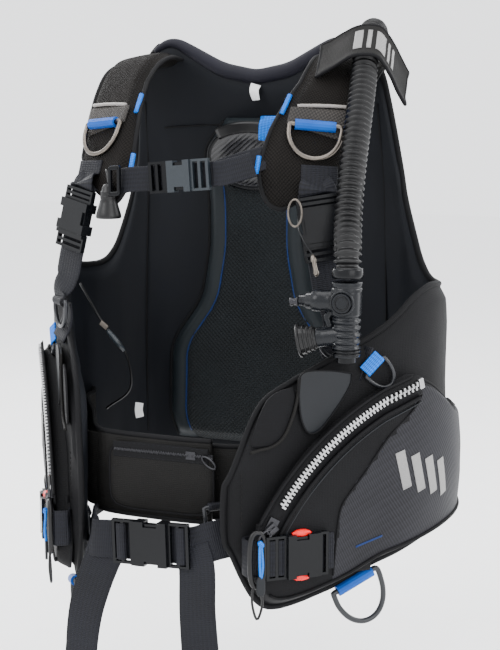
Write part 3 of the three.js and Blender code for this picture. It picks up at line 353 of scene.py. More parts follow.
def spline(points, count):
    """count + 1 points on a centripetal Catmull-Rom curve through the points, evenly spaced by length."""
    p = [2 * points[0] - points[1], *points, 2 * points[-1] - points[-2]]
    fine = []
    for i in range(1, len(p) - 2):
        a, b, c, d = p[i - 1], p[i], p[i + 1], p[i + 2]
        t0 = 0.0
        t1 = t0 + max((b - a).length, 1e-6) ** 0.5
        t2 = t1 + max((c - b).length, 1e-6) ** 0.5
        t3 = t2 + max((d - c).length, 1e-6) ** 0.5
        for k in range(SPLINE_STEPS):
            t = t1 + (t2 - t1) * k / SPLINE_STEPS
            a1 = a * ((t1 - t) / (t1 - t0)) + b * ((t - t0) / (t1 - t0))
            a2 = b * ((t2 - t) / (t2 - t1)) + c * ((t - t1) / (t2 - t1))
            a3 = c * ((t3 - t) / (t3 - t2)) + d * ((t - t2) / (t3 - t2))
            b1 = a1 * ((t2 - t) / (t2 - t0)) + a2 * ((t - t0) / (t2 - t0))
            b2 = a2 * ((t3 - t) / (t3 - t1)) + a3 * ((t - t1) / (t3 - t1))
            fine.append(b1 * ((t2 - t) / (t2 - t1)) + b2 * ((t - t1) / (t2 - t1)))
    fine.append(points[-1].copy())
    run = [0.0]
    for a, b in zip(fine, fine[1:]):
        run.append(run[-1] + (b - a).length)
    out, k = [], 0
    for i in range(count + 1):
        want = run[-1] * i / count
        while k < len(run) - 2 and run[k + 1] < want:
            k += 1
        share = (want - run[k]) / max(run[k + 1] - run[k], 1e-9)
        out.append(fine[k].lerp(fine[k + 1], min(1.0, max(0.0, share))))
    return out


def spread(values, count):
    """count + 1 numbers or vectors evenly read from a list."""
    out = []
    for i in range(count + 1):
        at = (len(values) - 1) * i / count
        k = min(int(at), len(values) - 2)
        a, b = values[k], values[k + 1]
        out.append(a + (b - a) * (at - k))
    return out


def tangents(points, loop=False):
    n = len(points)
    out = []
    for i in range(n):
        before = points[(i - 1) % n if loop else max(i - 1, 0)]
        after = points[(i + 1) % n if loop else min(i + 1, n - 1)]
        out.append((after - before).normalized())
    return out


def quads(rows, columns):
    """Faces of a grid of points that lie row by row."""
    n = columns + 1
    corners = ((0, 0), (0, 1), (1, 1), (1, 0))
    return [tuple((i + a) * n + j + b for a, b in corners) for i in range(rows) for j in range(columns)]


def border(rows, columns):
    """The grid's points round its edge, in one turn from the first corner."""
    n = columns + 1
    first = list(range(n)) + [i * n + columns for i in range(1, rows + 1)]
    second = [rows * n + j for j in range(columns - 1, -1, -1)] + [i * n for i in range(rows - 1, 0, -1)]
    return first + second


def rounded_square(angle, power):
    """A point on a unit square with round corners: the higher the power, the squarer."""
    c, s = math.cos(angle), math.sin(angle)
    f = (abs(c) ** power + abs(s) ** power) ** (-1 / power)
    return c * f, s * f


def circle(centre, a, b, count):
    """Points round an ellipse with half axes a and b."""
    return [centre + a * math.cos(t) + b * math.sin(t) for t in turns(count)]


def skin(rings, loop=False):
    """Faces over rings of equal point counts."""
    n, m = len(rings), len(rings[0])
    faces = []
    for i in range(n if loop else n - 1):
        j = (i + 1) % n
        for k in range(m):
            l = (k + 1) % m
            faces.append((i * m + k, i * m + l, j * m + l, j * m + k))
    if not loop:
        faces.append(tuple(range(m)))
        faces.append(tuple((n - 1) * m + k for k in reversed(range(m))))
    return faces


def tube(name, points, radius, finish, sides=10, loop=False, body="vest"):
    """A tube along points; radius is a number or one for each point."""
    radii = radius if isinstance(radius, list) else [radius] * len(points)
    along = tangents(points, loop)
    normal = along[0].orthogonal().normalized()
    rings, uv, run = [], [], 0.0
    for i, (p, t, r) in enumerate(zip(points, along, radii)):
        normal = (normal - t * normal.dot(t)).normalized()
        side = t.cross(normal)
        rings.append([p + (normal * math.cos(a) + side * math.sin(a)) * r for a in turns(sides)])
        run += (p - points[i - 1]).length if i else 0.0
        uv += [(run, 2 * math.pi * r * k / sides) for k in range(sides)]
    return new_piece(name, [p for ring in rings for p in ring], skin(rings, loop), finish, uv, body=body)


def webbing_section(width, thick):
    """Flat tape with rounded edges: points (across, through)."""
    w, t = width / 2, thick / 2
    corner = [(-w, 0), (-w + 0.35 * t, 0.75 * t), (-w + t, t)]
    top = [*corner, (-w * 0.5, t), (0, t), (w * 0.5, t), (w - t, t), (w - 0.35 * t, 0.75 * t)]
    return top + [(-s, -o) for s, o in top]


def pad_section(inner, outer, thick, flange=5.0, count=18):
    """A foam pad between bound edges, from -outer to +inner across: flat flanges, then a crowned top."""
    points = []
    for i in range(count + 1):
        s = -outer + (inner + outer) * i / count
        edge = min(s + outer, inner - s)
        rise = min(1.0, max(0.0, (edge - flange) / 9.0))
        lift = 1.6 + (thick / 2 - 1.6) * math.sin(rise * math.pi / 2) + 1.2 * min(1.0, edge / 30)
        points.append((s, lift))
    return points + [(s, -0.75 * o) for s, o in reversed(points)]


def strip(name, line, normals, section_at, finish, body="vest", skew=None):
    """A strap along line. section_at(i) gives its section, and skew(i) how it leans along the strap."""
    along = tangents(line)
    rings, uv, run = [], [], 0.0
    for i, p in enumerate(line):
        side = along[i].cross(normals[i]).normalized()
        out = side.cross(along[i]).normalized()
        run += (p - line[i - 1]).length if i else 0.0
        ring = []
        for s, o in section_at(i):
            lean = skew(i) * s if skew else 0.0
            ring.append(p + side * s + out * o + along[i] * lean)
            uv.append((run + lean, s))
        rings.append(ring)
    return new_piece(name, [p for ring in rings for p in ring], skin(rings), finish, uv, body=body)


def tape(name, line, normals, width, thick, finish, body="vest", steps=40):
    """Flat webbing along a smooth line; width is a number or a list of knots."""
    points = spline(line, steps)
    facing = [n.normalized() for n in spread(normals, steps)]
    widths = spread(width if isinstance(width, list) else [width, width], steps)
    return strip(name, points, facing, lambda i: webbing_section(widths[i], thick), finish, body)


STITCH_LENGTH, STITCH_GAP = 3.2, 2.0


def stitches(name, line, finish="tape", radius=0.42):
    """A row of short thread stitches along a line of points that already lies on the cloth."""
    run = [0.0]
    for a, b in zip(line, line[1:]):
        run.append(run[-1] + (b - a).length)

    def at(d):
        k = 0
        while k < len(run) - 2 and run[k + 1] < d:
            k += 1
        return line[k].lerp(line[k + 1], (d - run[k]) / max(run[k + 1] - run[k], 1e-9))

    points, faces = [], []
    d = 0.0
    while d + STITCH_LENGTH < run[-1]:
        a, b = at(d), at(d + STITCH_LENGTH)
        t = (b - a).normalized()
        n = t.orthogonal().normalized()
        s = t.cross(n)
        base = len(points)
        for p, r in ((a, 0.3), (a.lerp(b, 0.25), 1.0), (a.lerp(b, 0.75), 1.0), (b, 0.3)):
            square = [n * math.cos(k) + s * math.sin(k) for k in (0, 1.57, 3.14, 4.71)]
            points += [p + q * radius * r for q in square]
        for i in range(3):
            for k in range(4):
                l = (k + 1) % 4
                faces.append((base + i * 4 + k, base + i * 4 + l, base + i * 4 + 4 + l, base + i * 4 + 4 + k))
        d += STITCH_LENGTH + STITCH_GAP
    return new_piece(name, points, faces, finish)


def blocks(name, boxes, finish, bevel=0.4, body="vest"):
    """Small blocks: each is (centre, x axis, y axis, z axis) with half sizes in the axes' lengths."""
    points, faces = [], []
    for c, x, y, z in boxes:
        base = len(points)
        points += [c + x * i + y * j + z * k for k in (-1, 1) for j in (-1, 1) for i in (-1, 1)]
        for f in ((0, 2, 3, 1), (4, 5, 7, 6), (0, 1, 5, 4), (2, 6, 7, 3), (0, 4, 6, 2), (1, 3, 7, 5)):
            faces.append(tuple(base + k for k in f))
    piece = new_piece(name, points, faces, finish, body=body, smooth=False)
    return rounded(piece, bevel, 2) if bevel else piece


def ring(name, centre, across, hang, wide, drop, wire, finish):
    """A wire D-ring: a straight bar and a round bow."""
    half = wide / 2
    points = [centre + across * x for x in (-half * 0.9, 0, half * 0.9)]
    for i in range(17):
        a = math.pi * i / 16
        bow = drop * math.sin(a) ** 0.8 + 0.6
        points.append(centre + across * ((half + 0.8) * math.cos(a)) + hang * bow)
    return tube(name, points, wire, finish, 8, True)


# ------------------------------------------------------------------ the jacket's wrap, as in the CAD
BACK_HALF, BACK_Y = 115.0, -45.0
LEFT_RADIUS, LEFT_TURN = 105.0, math.radians(137)
RIGHT_RADIUS, RIGHT_TURN, RIGHT_CARRY = 76.0, math.radians(123), 30.0
SIDE_LENGTH = LEFT_RADIUS * LEFT_TURN
U_SIDE = BACK_HALF + SIDE_LENGTH
U_FRONT = U_SIDE + 154
LINING, SHELL, POCKET = -2.0, 13.0, 29.0
S = U_SIDE
TOP = [
    (0, 258), (40, 266), (75, 286), (95, 297), (115, 289), (130, 274), (143, 258), (150, 240), (152, 200),
    (155, 163), (161, 135), (172, 109), (181, 80), (196, 56), (212, 48), (240, 48), (268, 52), (296, 54),
    (322, 46), (345, 27), (S, 13), (S + 40, -6), (S + 81, -25), (S + 105, -37), (S + 120, -47),
    (S + 132, -74), (S + 143, -102), (U_FRONT, -128),
]
BOTTOM = [
    (0, -178), (143, -182), (240, -190), (296, -195), (322, -200), (S, -212), (S + 40, -231), (S + 81, -243),
    (S + 105, -247), (S + 120, -243), (S + 132, -224), (S + 143, -200), (U_FRONT, -172),
]


LEAN, LEAN_FROM = 0.19, 150.0  # how the yoke leans back above a height


def wrap(u, z, w):
    """The place u along the cloth from the back's middle, at height z, and w out from its middle layer."""
    side = 1 if u >= 0 else -1
    radius, turn, carry = RIGHT_RADIUS, RIGHT_TURN, RIGHT_CARRY
    if side > 0:
        radius, turn, carry = LEFT_RADIUS, LEFT_TURN, 0.0
    lean = LEAN * max(0.0, z - LEAN_FROM)
    a = abs(u)
    if a <= BACK_HALF:
        return V(side * a, BACK_Y + w - lean, z)
    share = min(a - BACK_HALF, SIDE_LENGTH) / SIDE_LENGTH
    path = share * (radius * turn + carry) + max(0.0, a - U_SIDE)
    angle = min(path / radius, turn)
    run = max(0.0, path - radius * turn)
    x = BACK_HALF + (radius + w) * math.sin(angle) + run * math.cos(turn)
    y = BACK_Y - radius + (radius + w) * math.cos(angle) - run * math.sin(turn)
    return V(side * x, y - lean, z)


def height(knots, u):
    """The height of an outline at u, straight between its knots."""
    a = abs(u)
    i = 0
    while i < len(knots) - 2 and a > knots[i + 1][0]:
        i += 1
    (u0, z0), (u1, z1) = knots[i], knots[i + 1]
    return z0 + (z1 - z0) * min(1.0, max(0.0, (a - u0) / (u1 - u0)))


def eased(knots, u):
    """The outline's height with its corners softened."""
    return sum(height(knots, min(U_FRONT, abs(abs(u) + d))) for d in (-9, -6, -3, 0, 3, 6, 9)) / 7


def lobe(side, run, z, w):
    """A place on a front lobe: run counts forward from the end of the side's bend."""
    return wrap(side * (U_SIDE + run), z, w)


def lobe_axes(side):
    """Directions out of a lobe's face and forward along it."""
    turn = LEFT_TURN if side > 0 else RIGHT_TURN
    out = V(side * math.sin(turn), math.cos(turn), 0)
    forward = V(side * math.cos(turn), -math.sin(turn), 0)
    return out, forward


def outward(u, z):
    """The cloth's outward direction."""
    along = wrap(u + 2, z, SHELL) - wrap(u - 2, z, SHELL)
    up = wrap(u, min(z, 148) + 1, SHELL) - wrap(u, min(z, 148) - 1, SHELL)
    return up.cross(along).normalized()


def ease(x):
    """A smooth step from 0 to 1."""
    x = min(1.0, max(0.0, x))
    return x * x * (3 - 2 * x)


def folds(u, z, across=46.0, tall=120.0, seed=0.0):
    """Soft creases, longer up the cloth than across it."""
    broad = noise.noise(V(u / across, z / tall, seed))
    fine = noise.noise(V(u / (across * 0.38), z / (tall * 0.5), seed + 7))
    return broad + 0.4 * fine


def make_jacket():
    step = 6.5
    count = int(2 * U_FRONT / step)
    us = [-U_FRONT + 2 * U_FRONT * i / count for i in range(count + 1)]
    rows = 34
    rings, uv = [], []
    for u in us:
        low, high = eased(BOTTOM, u), eased(TOP, u)
        end = (U_FRONT - abs(u)) / 16
        inner, outer = [], []
        for k in range(rows + 1):
            share = 0.6 * k / rows + 0.4 * (0.5 - 0.5 * math.cos(math.pi * k / rows))
            z = low + (high - low) * share
            edge = min(min(z - low, high - z) / 16, end)
            soft = ease(edge * 0.6)
            loose = 1.6 if u < -U_SIDE + 60 else 1.0
            crease = folds(u, z) * 2.6 * soft * (0.5 if abs(u) < 110 else loose)
            w_in = 5.0 + (LINING - 5.0) * ease(edge) + max(-2.6, min(2.6, crease * 1.5))
            swell = 2.4 * ease(edge * 0.35) + folds(u, z, 60, 70, 3.0) * 1.7 * soft * loose
            w_out = 7.0 + (SHELL - 7.0) * ease(edge) + swell
            inner.append((wrap(u, z, w_in), (u, z)))
            outer.append((wrap(u, z, w_out), (u, z)))
        ring_points = inner + outer[::-1]
        rings.append([p for p, _ in ring_points])
        uv += [c for _, c in ring_points]
    faces = skin(rings)
    m = len(rings[0])
    kinds = [0 if f % m < rows else 1 for f in range(len(faces))]
    kinds[-2:] = [1, 1]
    body = new_piece("jacket", [p for r in rings for p in r], faces, ["lining", "shell"], uv, kinds)
    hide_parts("inner_lining", "outer_shell", "air_cell")

    def rim(knots, u_from, u_to, n, w=5.6, lift=0.0):
        us = [u_from + (u_to - u_from) * i / n for i in range(n + 1)]
        return [wrap(u, eased(knots, u) + lift, w) for u in us]

    thickness = spread([3.4, 6.6, 8.2, 8.2, 8.2, 6.6, 3.4], 70)
    tube("collar_roll", rim(TOP, -118, 118, 70, 4.0, -2.5), thickness, "neoprene", 14)
    for side, suffix in SIDES:
        top = rim(TOP, side * 112, side * U_FRONT, 120)
        low = rim(BOTTOM, side * U_FRONT, 0, 120)
        tube("edge_tape_" + suffix, spline(top + low, 300), 3.3, "tape", 10)
    seam = [wrap(u, 205 - 0.0004 * u * u, LINING - 0.6) for u in range(-112, 113, 4)]
    tube("yoke_seam", seam, 1.1, "tape", 6)
    for side, suffix in reversed(SIDES):
        bends = [138 + 10 * math.sin(i / 30 * 2) for i in range(31)]
        run = [wrap(side * u, 228 - i * 12.5, LINING - 0.8) for i, u in enumerate(bends)]
        tube("lining_seam_" + suffix, run, 1.0, "tape", 6)


# ------------------------------------------------------------------ back pad and its handle plate
PAD_LOW, PAD_TOP = -150, 212
PAD_HALF = [(-150, 96), (-130, 110), (-42, 108), (11, 70),
             (70, 60), (122, 60), (165, 66), (190, 58), (212, 30)]


def pad_half(z):
    """The pad's half width at a height, with its outline's corners softened."""
    total = 0.0
    for d in (-14, -7, 0, 7, 14):
        q = min(PAD_TOP, max(PAD_LOW, z + d))
        i = 0
        while i < len(PAD_HALF) - 2 and q > PAD_HALF[i + 1][0]:
            i += 1
        (z0, h0), (z1, h1) = PAD_HALF[i], PAD_HALF[i + 1]
        total += h0 + (h1 - h0) * (q - z0) / (z1 - z0)
    return total / 5


STRIP = 24.0  # width of the smooth strip down each side of the mesh


def pad_face(x, z):
    """Offset of the pad's front: a crowned centre with a channel between it and the side strips."""
    half = pad_half(z)
    edge = min(half - abs(x), z - PAD_LOW, PAD_TOP - z)
    low = LINING - 1.5
    rise = 14.0 * ease(edge / 13) ** 0.8
    channel = 3.6 * math.exp(-(((half - STRIP - abs(x)) / 3.2) ** 2)) * (1 if z < 150 else 0)
    crown = 2.2 * math.cos(min(1.0, abs(x) / half) * math.pi / 2)
    return low - 2.0 - rise + channel - crown + 0.9 * noise.noise(V(x / 40, z / 50, 2.2))


def make_handle_plate():
    """A moulded oval plate with a raised rim, its handle bar and a blue tab, on the pad's upper end."""
    tilt = V(0, -0.13, 1).normalized()
    out = V(0, -1, -0.13).normalized()
    centre = wrap(0, 170, LINING - 23.2)
    count = 48
    # half width, half height and lift of each ring, from the back's edge to the middle of the face
    sizes = [(53, 36, -2.5), (53, 36, 2.2), (50.5, 33.5, 3.2), (48, 31.2, 1.6), (30, 19, 2.4), (8, 5, 2.8)]
    rings = [circle(centre + out * lift, V(a, 0, 0), tilt * b, count) for a, b, lift in sizes]
    faces = skin(rings)
    plate_uv = [((p - centre).x, (p - centre).dot(tilt)) for r in rings for p in r]
    kinds = [0 if f // count < 3 else 1 for f in range(len(faces) - 2)] + [0, 1]
    points = [p for r in rings for p in r]
    plate = new_piece("handle_plate", points, faces, ["plastic", "carbon"], plate_uv, kinds)
    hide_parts("yoke_plate")
    bar = []
    for x in range(-38, 39, 4):
        bar.append(centre + V(x, 0, 0) + tilt * (34 - 0.006 * x * x) + out * (6.5 - 0.003 * x * x))
    strip("handle_bar", bar, [out] * len(bar), lambda i: webbing_section(13, 4.5), "rubber")
    fold = ((20, 11), (28, 12.5), (40, 12), (46, 9.5), (40, 7.5))
    tab = [centre + V(21 + 0.12 * t, 0, 0) + tilt * t + out * d for t, d in fold]
    tape("handle_tab", tab, [out, out, out, tilt, -out], 22, 1.8, "blue_web", steps=20)


def make_back_pad():
    rows, columns = 90, 46
    front, back, uv = [], [], []
    for i in range(rows + 1):
        z = PAD_LOW + (PAD_TOP - PAD_LOW) * i / rows
        half = pad_half(z)
        for j in range(columns + 1):
            x = half * math.sin((2 * j / columns - 1) * math.pi / 2)
            front.append(wrap(x, z, pad_face(x, z)))
            back.append(wrap(x, z, LINING - 0.6))
            uv.append((x, z))
    n = columns + 1
    uv += uv
    base = len(front)
    faces, kinds = [], []
    for i in range(rows):
        for j in range(columns):
            a = i * n + j
            faces.append((a, a + 1, a + n + 1, a + n))
            centre = sum((front[k] for k in (a, a + 1, a + n + 1, a + n)), V(0, 0, 0)) / 4
            inside = pad_half(centre.z) - abs(centre.x) > STRIP and centre.z < 152
            kinds.append(0 if inside else 1)
            faces.append((base + a + n, base + a + n + 1, base + a + 1, base + a))
            kinds.append(1)
    loop = border(rows, columns)
    for a, b in zip(loop, loop[1:] + loop[:1]):
        faces.append((a, base + a, base + b, b))
        kinds.append(1)
    pad = new_piece("back_cushion", front + back, faces, ["spacer", "side_strip"], uv, kinds)
    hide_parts("back_pad")
    for side, suffix in SIDES:
        line = []
        for i in range(70):
            z = -140 + 290 * i / 69
            x = side * (pad_half(z) - STRIP)
            line.append(wrap(x, z, pad_face(x, z) - 0.4))
        tube("pad_piping_" + suffix, line, 0.95, "blue_piping", 8)
        rim = [wrap(side * pad_half(z), z, LINING - 3.0) for z in (-148 + 356 * i / 80 for i in range(81))]
        tube("pad_binding_" + suffix, rim, 2.4, "tape", 8)

    make_handle_plate()
    # blank white care label under the collar
    top = wrap(2, 248, LINING - 3)
    line = [top, top + V(-1, -3, -6), top + V(0, -3, -12), top + V(1, -1.5, -17)]
    facing = [V(0.2, -1, 0.2), V(-0.3, -1, 0)]
    label = tape("care_label", line, facing, [11, 10.5, 10], 0.8, "label", steps=14)


# ------------------------------------------------------------------ shoulder straps
# Centre line, outward normal, and half widths towards the neck and towards the arm.
STRAP = [
    (V(117, -73.6, 270), V(0.12, -0.1, 0.99), 35, 34),
    (V(118, -96, 271), V(0.18, -0.2, 0.97), 35, 36),
    (V(118, -120, 264), V(0.24, -0.42, 0.88), 33, 36),
    (V(117, -146, 246), V(0.3, -0.62, 0.72), 33, 36),
    (V(115, -171, 221), V(0.36, -0.78, 0.5), 38, 36),
    (V(114, -190, 194), V(0.4, -0.86, 0.3), 45, 36),
    (V(114, -204, 166), V(0.42, -0.88, 0.2), 50, 36),
    (V(117, -212, 142), V(0.42, -0.89, 0.14), 46, 32),
]
STRAP_STEPS = 56


def mirrored(v, side):
    """The same place or direction on the wearer's left (side 1) or right (side -1)."""
    return V(v.x * side, v.y, v.z)


def strap_frames(side):
    """Points, frames and half widths down one strap."""
    line = spline([mirrored(s[0], side) for s in STRAP], STRAP_STEPS)
    normals = [n.normalized() for n in spread([mirrored(s[1], side) for s in STRAP], STRAP_STEPS)]
    shares = [max(0.0, (i / STRAP_STEPS - 0.86) / 0.14) for i in range(STRAP_STEPS + 1)]
    close = [math.sqrt(1 - 0.62 * share ** 2) for share in shares]
    inner, outer = [], []
    for half, k in ((inner, 2), (outer, 3)):
        half += [h * c for h, c in zip(spread([float(s[k]) for s in STRAP], STRAP_STEPS), close)]
    return line, normals, inner, outer


def strap_skew(i):
    """The strap's end is cut on a slant, longer at the neck side."""
    return 0.50 * ease((i / STRAP_STEPS - 0.72) / 0.28)


def on_strap(side, station, s, lift):
    """A point on the strap's face: station counts the knots above, s is towards the neck."""
    line, normals, _, _ = strap_frames(side)
    at = min(STRAP_STEPS - 1e-6, station / (len(STRAP) - 1) * STRAP_STEPS)
    k = int(at)
    along = tangents(line)
    p = line[k].lerp(line[k + 1], at - k)
    across = along[k].cross(normals[k]).normalized() * side
    out = (across * side).cross(along[k]).normalized()
    return p + across * s + out * (8.1 + lift) + along[k] * (strap_skew(k) * s)


def make_straps():
    for side, suffix in SIDES:
        line, normals, inner, outer = strap_frames(side)

        def section(i):
            a, b = (inner[i], outer[i]) if side > 0 else (outer[i], inner[i])
            return pad_section(a, b, 14)

        def lean(i):
            return strap_skew(i) * side

        pad = strip("strap_pad_" + suffix, line, normals, section, "pad_mesh", skew=lean)
        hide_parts("shoulder_strap_" + suffix)
        along = tangents(line)
        edges = []
        for sign, half in ((1, inner), (-1, outer)):
            edge = []
            for i, p in enumerate(line):
                across = along[i].cross(normals[i]).normalized() * side
                edge.append(p + across * (sign * half[i]) + along[i] * (strap_skew(i) * sign * half[i]))
            edges.append(edge)
        ends = [edges[0][-1].lerp(edges[1][-1], k / 8) for k in range(1, 8)]
        border = spline(edges[0] + ends + edges[1][::-1], 260)
        tube("strap_binding_" + suffix, border, 2.5, "tape", 8)
        for s in (-24, 26):
            row = [on_strap(side, 0.4 + 0.12 * k, s, -1.6) for k in range(51)]
            stitches(f"strap_stitches_{suffix}_{'in' if s > 0 else 'out'}", row, "tape")
        # grey reflective piping and the woven patch under it
        shares = [k / 12 for k in range(13)]
        piping = [on_strap(side, 3.62 + 0.52 * t, -26 + 52 * t, 0.5 + math.sin(math.pi * t)) for t in shares]
        tube("strap_piping_" + suffix, piping, 2.0, "reflective", 8)
        grid, coords = [], []
        rows, columns = 10, 14
        for i in range(rows + 1):
            for j in range(columns + 1):
                s = -29 + 61 * j / columns
                top, low = 3.74 + 0.5 * j / columns, 5.0 - 0.15 * j / columns
                station = top + (low - top) * i / rows
                edge = min(i, rows - i, j, columns - j)
                grid.append(on_strap(side, station, s, 0.2 + 0.8 * min(1, edge)))
                coords.append((s, station * 25))
        faces = quads(rows, columns)
        if side < 0:
            faces = [f[::-1] for f in faces]
        thicken(new_piece("strap_patch_" + suffix, grid, faces, "strap_mesh", coords), 1.6)
        # webbing that runs off the pad's end into the buckle's frame, as in the CAD
        face = mirrored(SHOULDER_FACE, side)
        run = [mirrored(V(116, -208, 152), side), behind(side, -50), behind(side, -34)]
        stub = tape("strap_stub_" + suffix, run, [face, face], 38, 2.2, "webbing", steps=20)
        loop_back = [behind(side, -46, 1.5), behind(side, -50, -2.4)]
        loop_back += [on_strap(side, 6.75, -7, 1.4), on_strap(side, 6.1, -7, 1.2)]
        tape("strap_return_" + suffix, loop_back, [face, face], 36, 2.0, "webbing", steps=20)
        # blue loops that the chest strap can be moved between
        for k, station in enumerate((3.7, 5.75)):
            a = on_strap(side, station, 37 + 15 * k, -5)
            b = on_strap(side, station + 0.75 - 0.4 * k, 39 + 14 * k, -5)
            tube(f"strap_loop_{suffix}_{k}", [a.lerp(b, t / 6) for t in range(7)], 2.6, "blue_web", 8)


SHOULDER_MOUTH = V(137, -227, 99)
SHOULDER_ALONG = V(0.2, -0.08, -0.976).normalized()
SHOULDER_FACE = V(0.42, -0.9, 0.12)


def behind(side, distance, depth=3.7):
    """A place along the shoulder buckle's line, from the socket's mouth."""
    out = (SHOULDER_FACE - SHOULDER_ALONG * SHOULDER_FACE.dot(SHOULDER_ALONG)).normalized()
    return mirrored(SHOULDER_MOUTH + SHOULDER_ALONG * distance - out * depth, side)


LOBE_RINGS = {1: V(150, -230, 14), -1: V(154, -226, 26)}  # the wearer's left, and the right before mirroring


def make_lower_straps():
    for side, suffix in SIDES:
        end = mirrored(LOBE_RINGS[side], side)
        line = [behind(side, 5), behind(side, 25), behind(side, 50), end + V(0, 0, 12), end + V(0, 0, 1)]
        face = mirrored(SHOULDER_FACE, side)
        out = V(side * math.sin(LEFT_TURN), math.cos(LEFT_TURN), 0)
        widths = [38, 38, 38, 30, 26]
        strap = tape("lower_webbing_" + suffix, line, [face, face, face, out], widths, 2.2, "webbing")
        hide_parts("lower_strap_" + suffix)
        across = out.cross(V(0, 0, 1)).normalized()
        tube("lower_loop_" + suffix, [end + across * x for x in range(-13, 14, 2)], 5.0, "webbing", 12)
        # from the ring down into the lobe
        low = [end + V(0, 0, -2) - out * 7.5, end + V(0, 0, -20) - out * 7]
        low.append(lobe(side, 14 if side > 0 else 34, -14, 16))
        tape("lobe_tongue_" + suffix, low, [out, out], [26, 30, 34], 2.4, "webbing", steps=16)


# ------------------------------------------------------------------ chest and waist webbing
def make_chest_webbing():
    mouth, along = V(-19, -247, 159), V(-0.991, 0.053, -0.09).normalized()
    face = V(0, -1, 0.05)
    out = (face - along * face.dot(along)).normalized()

    def at(d, depth=3.7):
        return mouth + along * d - out * depth

    line = [at(-28), at(-49), V(50, -241, 170), V(75.5, -216, 180)]
    left = tape("chest_webbing_left", line, [face, face, face, V(-0.3, -0.9, 0.1)], 25, 2.2, "webbing")
    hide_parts("chest_strap_left")
    line = [at(5), at(28), at(50), V(-76.5, -237, 152.6), V(-79.3, -219, 152)]
    facing = [face, face, face, V(-0.65, -0.76, 0), V(-0.98, -0.18, 0)]
    right = tape("chest_webbing_right", line, facing, 25, 2.2, "webbing")
    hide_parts("chest_strap_right")
    line = [at(-49, 1.0), at(-60, -1.2), at(-72, -1.4) + V(0, 1, 2), at(-86) + V(2, 6, 6)]
    fold = tape("chest_webbing_fold", line, [face, face], 24.5, 2.0, "webbing")
    # slider on the wearer's right end of the chest strap: two long bars and two short ones
    c = at(61, -1.0)
    bars = [(c + V(0, 0, z), along * 5.5, V(0, 2.2, 0), V(0, 0, 2.2)) for z in (-13, 13)]
    bars += [(c + along * d, along * 1.6, V(0, 2.2, 0), V(0, 0, 14)) for d in (-5, 5)]
    blocks("chest_slider", bars, "plastic", 0.7)


def make_waist_webbing():
    mouth, along, face = V(-16, -334, -188), V(-1, 0, -0.03).normalized(), V(0, -1, 0)

    def waist(d, depth=3.7):
        return mouth + along * d + V(0, depth, 0)

    lean_left, lean_right = V(-0.45, -0.9, 0), V(0.5, -0.86, 0)
    line = [waist(-36), waist(-60), V(62, -328, -180), lobe(1, 112, -172, LINING - 4)]
    left = tape("waist_webbing_left", line, [face, face, lean_left], 38, 2.2, "webbing")
    line = [waist(5), waist(28), waist(50), V(-72, -317, -188), lobe(-1, 120, -186, LINING - 4)]
    right = tape("waist_webbing_right", line, [face, face, face, lean_right], 38, 2.2, "webbing")
    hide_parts("waist_strap_left")
    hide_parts("waist_strap_right")
    start = waist(-56)
    tail_left = [start, start + V(6, -1, -18), V(48, -334, -250), V(55, -338, -330), V(56, -338, -420)]
    start = waist(28, 6.1)
    tail_right = [start, start + V(-12, 0, -22), V(-72, -334, -262), V(-78, -337, -330), V(-75, -338, -420)]
    for name, run, tilt in (
        ("waist_tail_left", tail_left, V(0.12, -1, 0)),
        ("waist_tail_right", tail_right, V(-0.16, -1, 0)),
    ):
        tail = tape(name, run, [face, face, tilt, tilt * 0.5 + face, face], 38, 2.2, "webbing", steps=60)
    # webbing wrapped round the buckle's frames
    for name, d, body in (("waist_wrap_left", -47, "vest"), ("waist_wrap_right", 16, "waist_prongs")):
        c = waist(d, 0)
        half_turns = [math.pi * k / 6 for k in range(13)]
        run = [c + V(0, 3.4 * math.cos(a), 0) + along * (4.6 * math.sin(a)) for a in half_turns]
        tape(name, run, [(p - c).normalized() for p in run], 36.5, 1.8, "webbing", body, 24)
    # rings that hang from the waistband beside the buckle
    for name, centre, hang, across in (
        ("waist_ring_left", V(57, -306, -152), V(0.12, 0, -1), V(-0.7, -0.7, 0)),
        ("waist_ring_right", V(-93, -290, -176), V(0.1, 0, -1), V(0.55, -0.83, 0)),
    ):
        ring(name, centre, across.normalized(), hang.normalized(), 26, 42, 2.0, "coated_wire")
        tube(name + "_tab", [centre + across.normalized() * x for x in range(-9, 10, 3)], 4.2, "webbing", 10)


# ------------------------------------------------------------------ waistband
def belt_line(side, reach, extra):
    """Points along the waistband from the side's lining to its front end, at height 0."""
    line = []
    for i, u in enumerate((240, 268, 296, 322, 345, U_SIDE, U_SIDE + 40)):
        off = 0 if i == 0 else 14 + extra
        line.append(wrap(side * u, 0, LINING - 2.5 - off))
    for x, y in [(80, 10), (56, 2), *reach]:
        line.append(V(side * x, -293 + y + extra, 0))
    return line


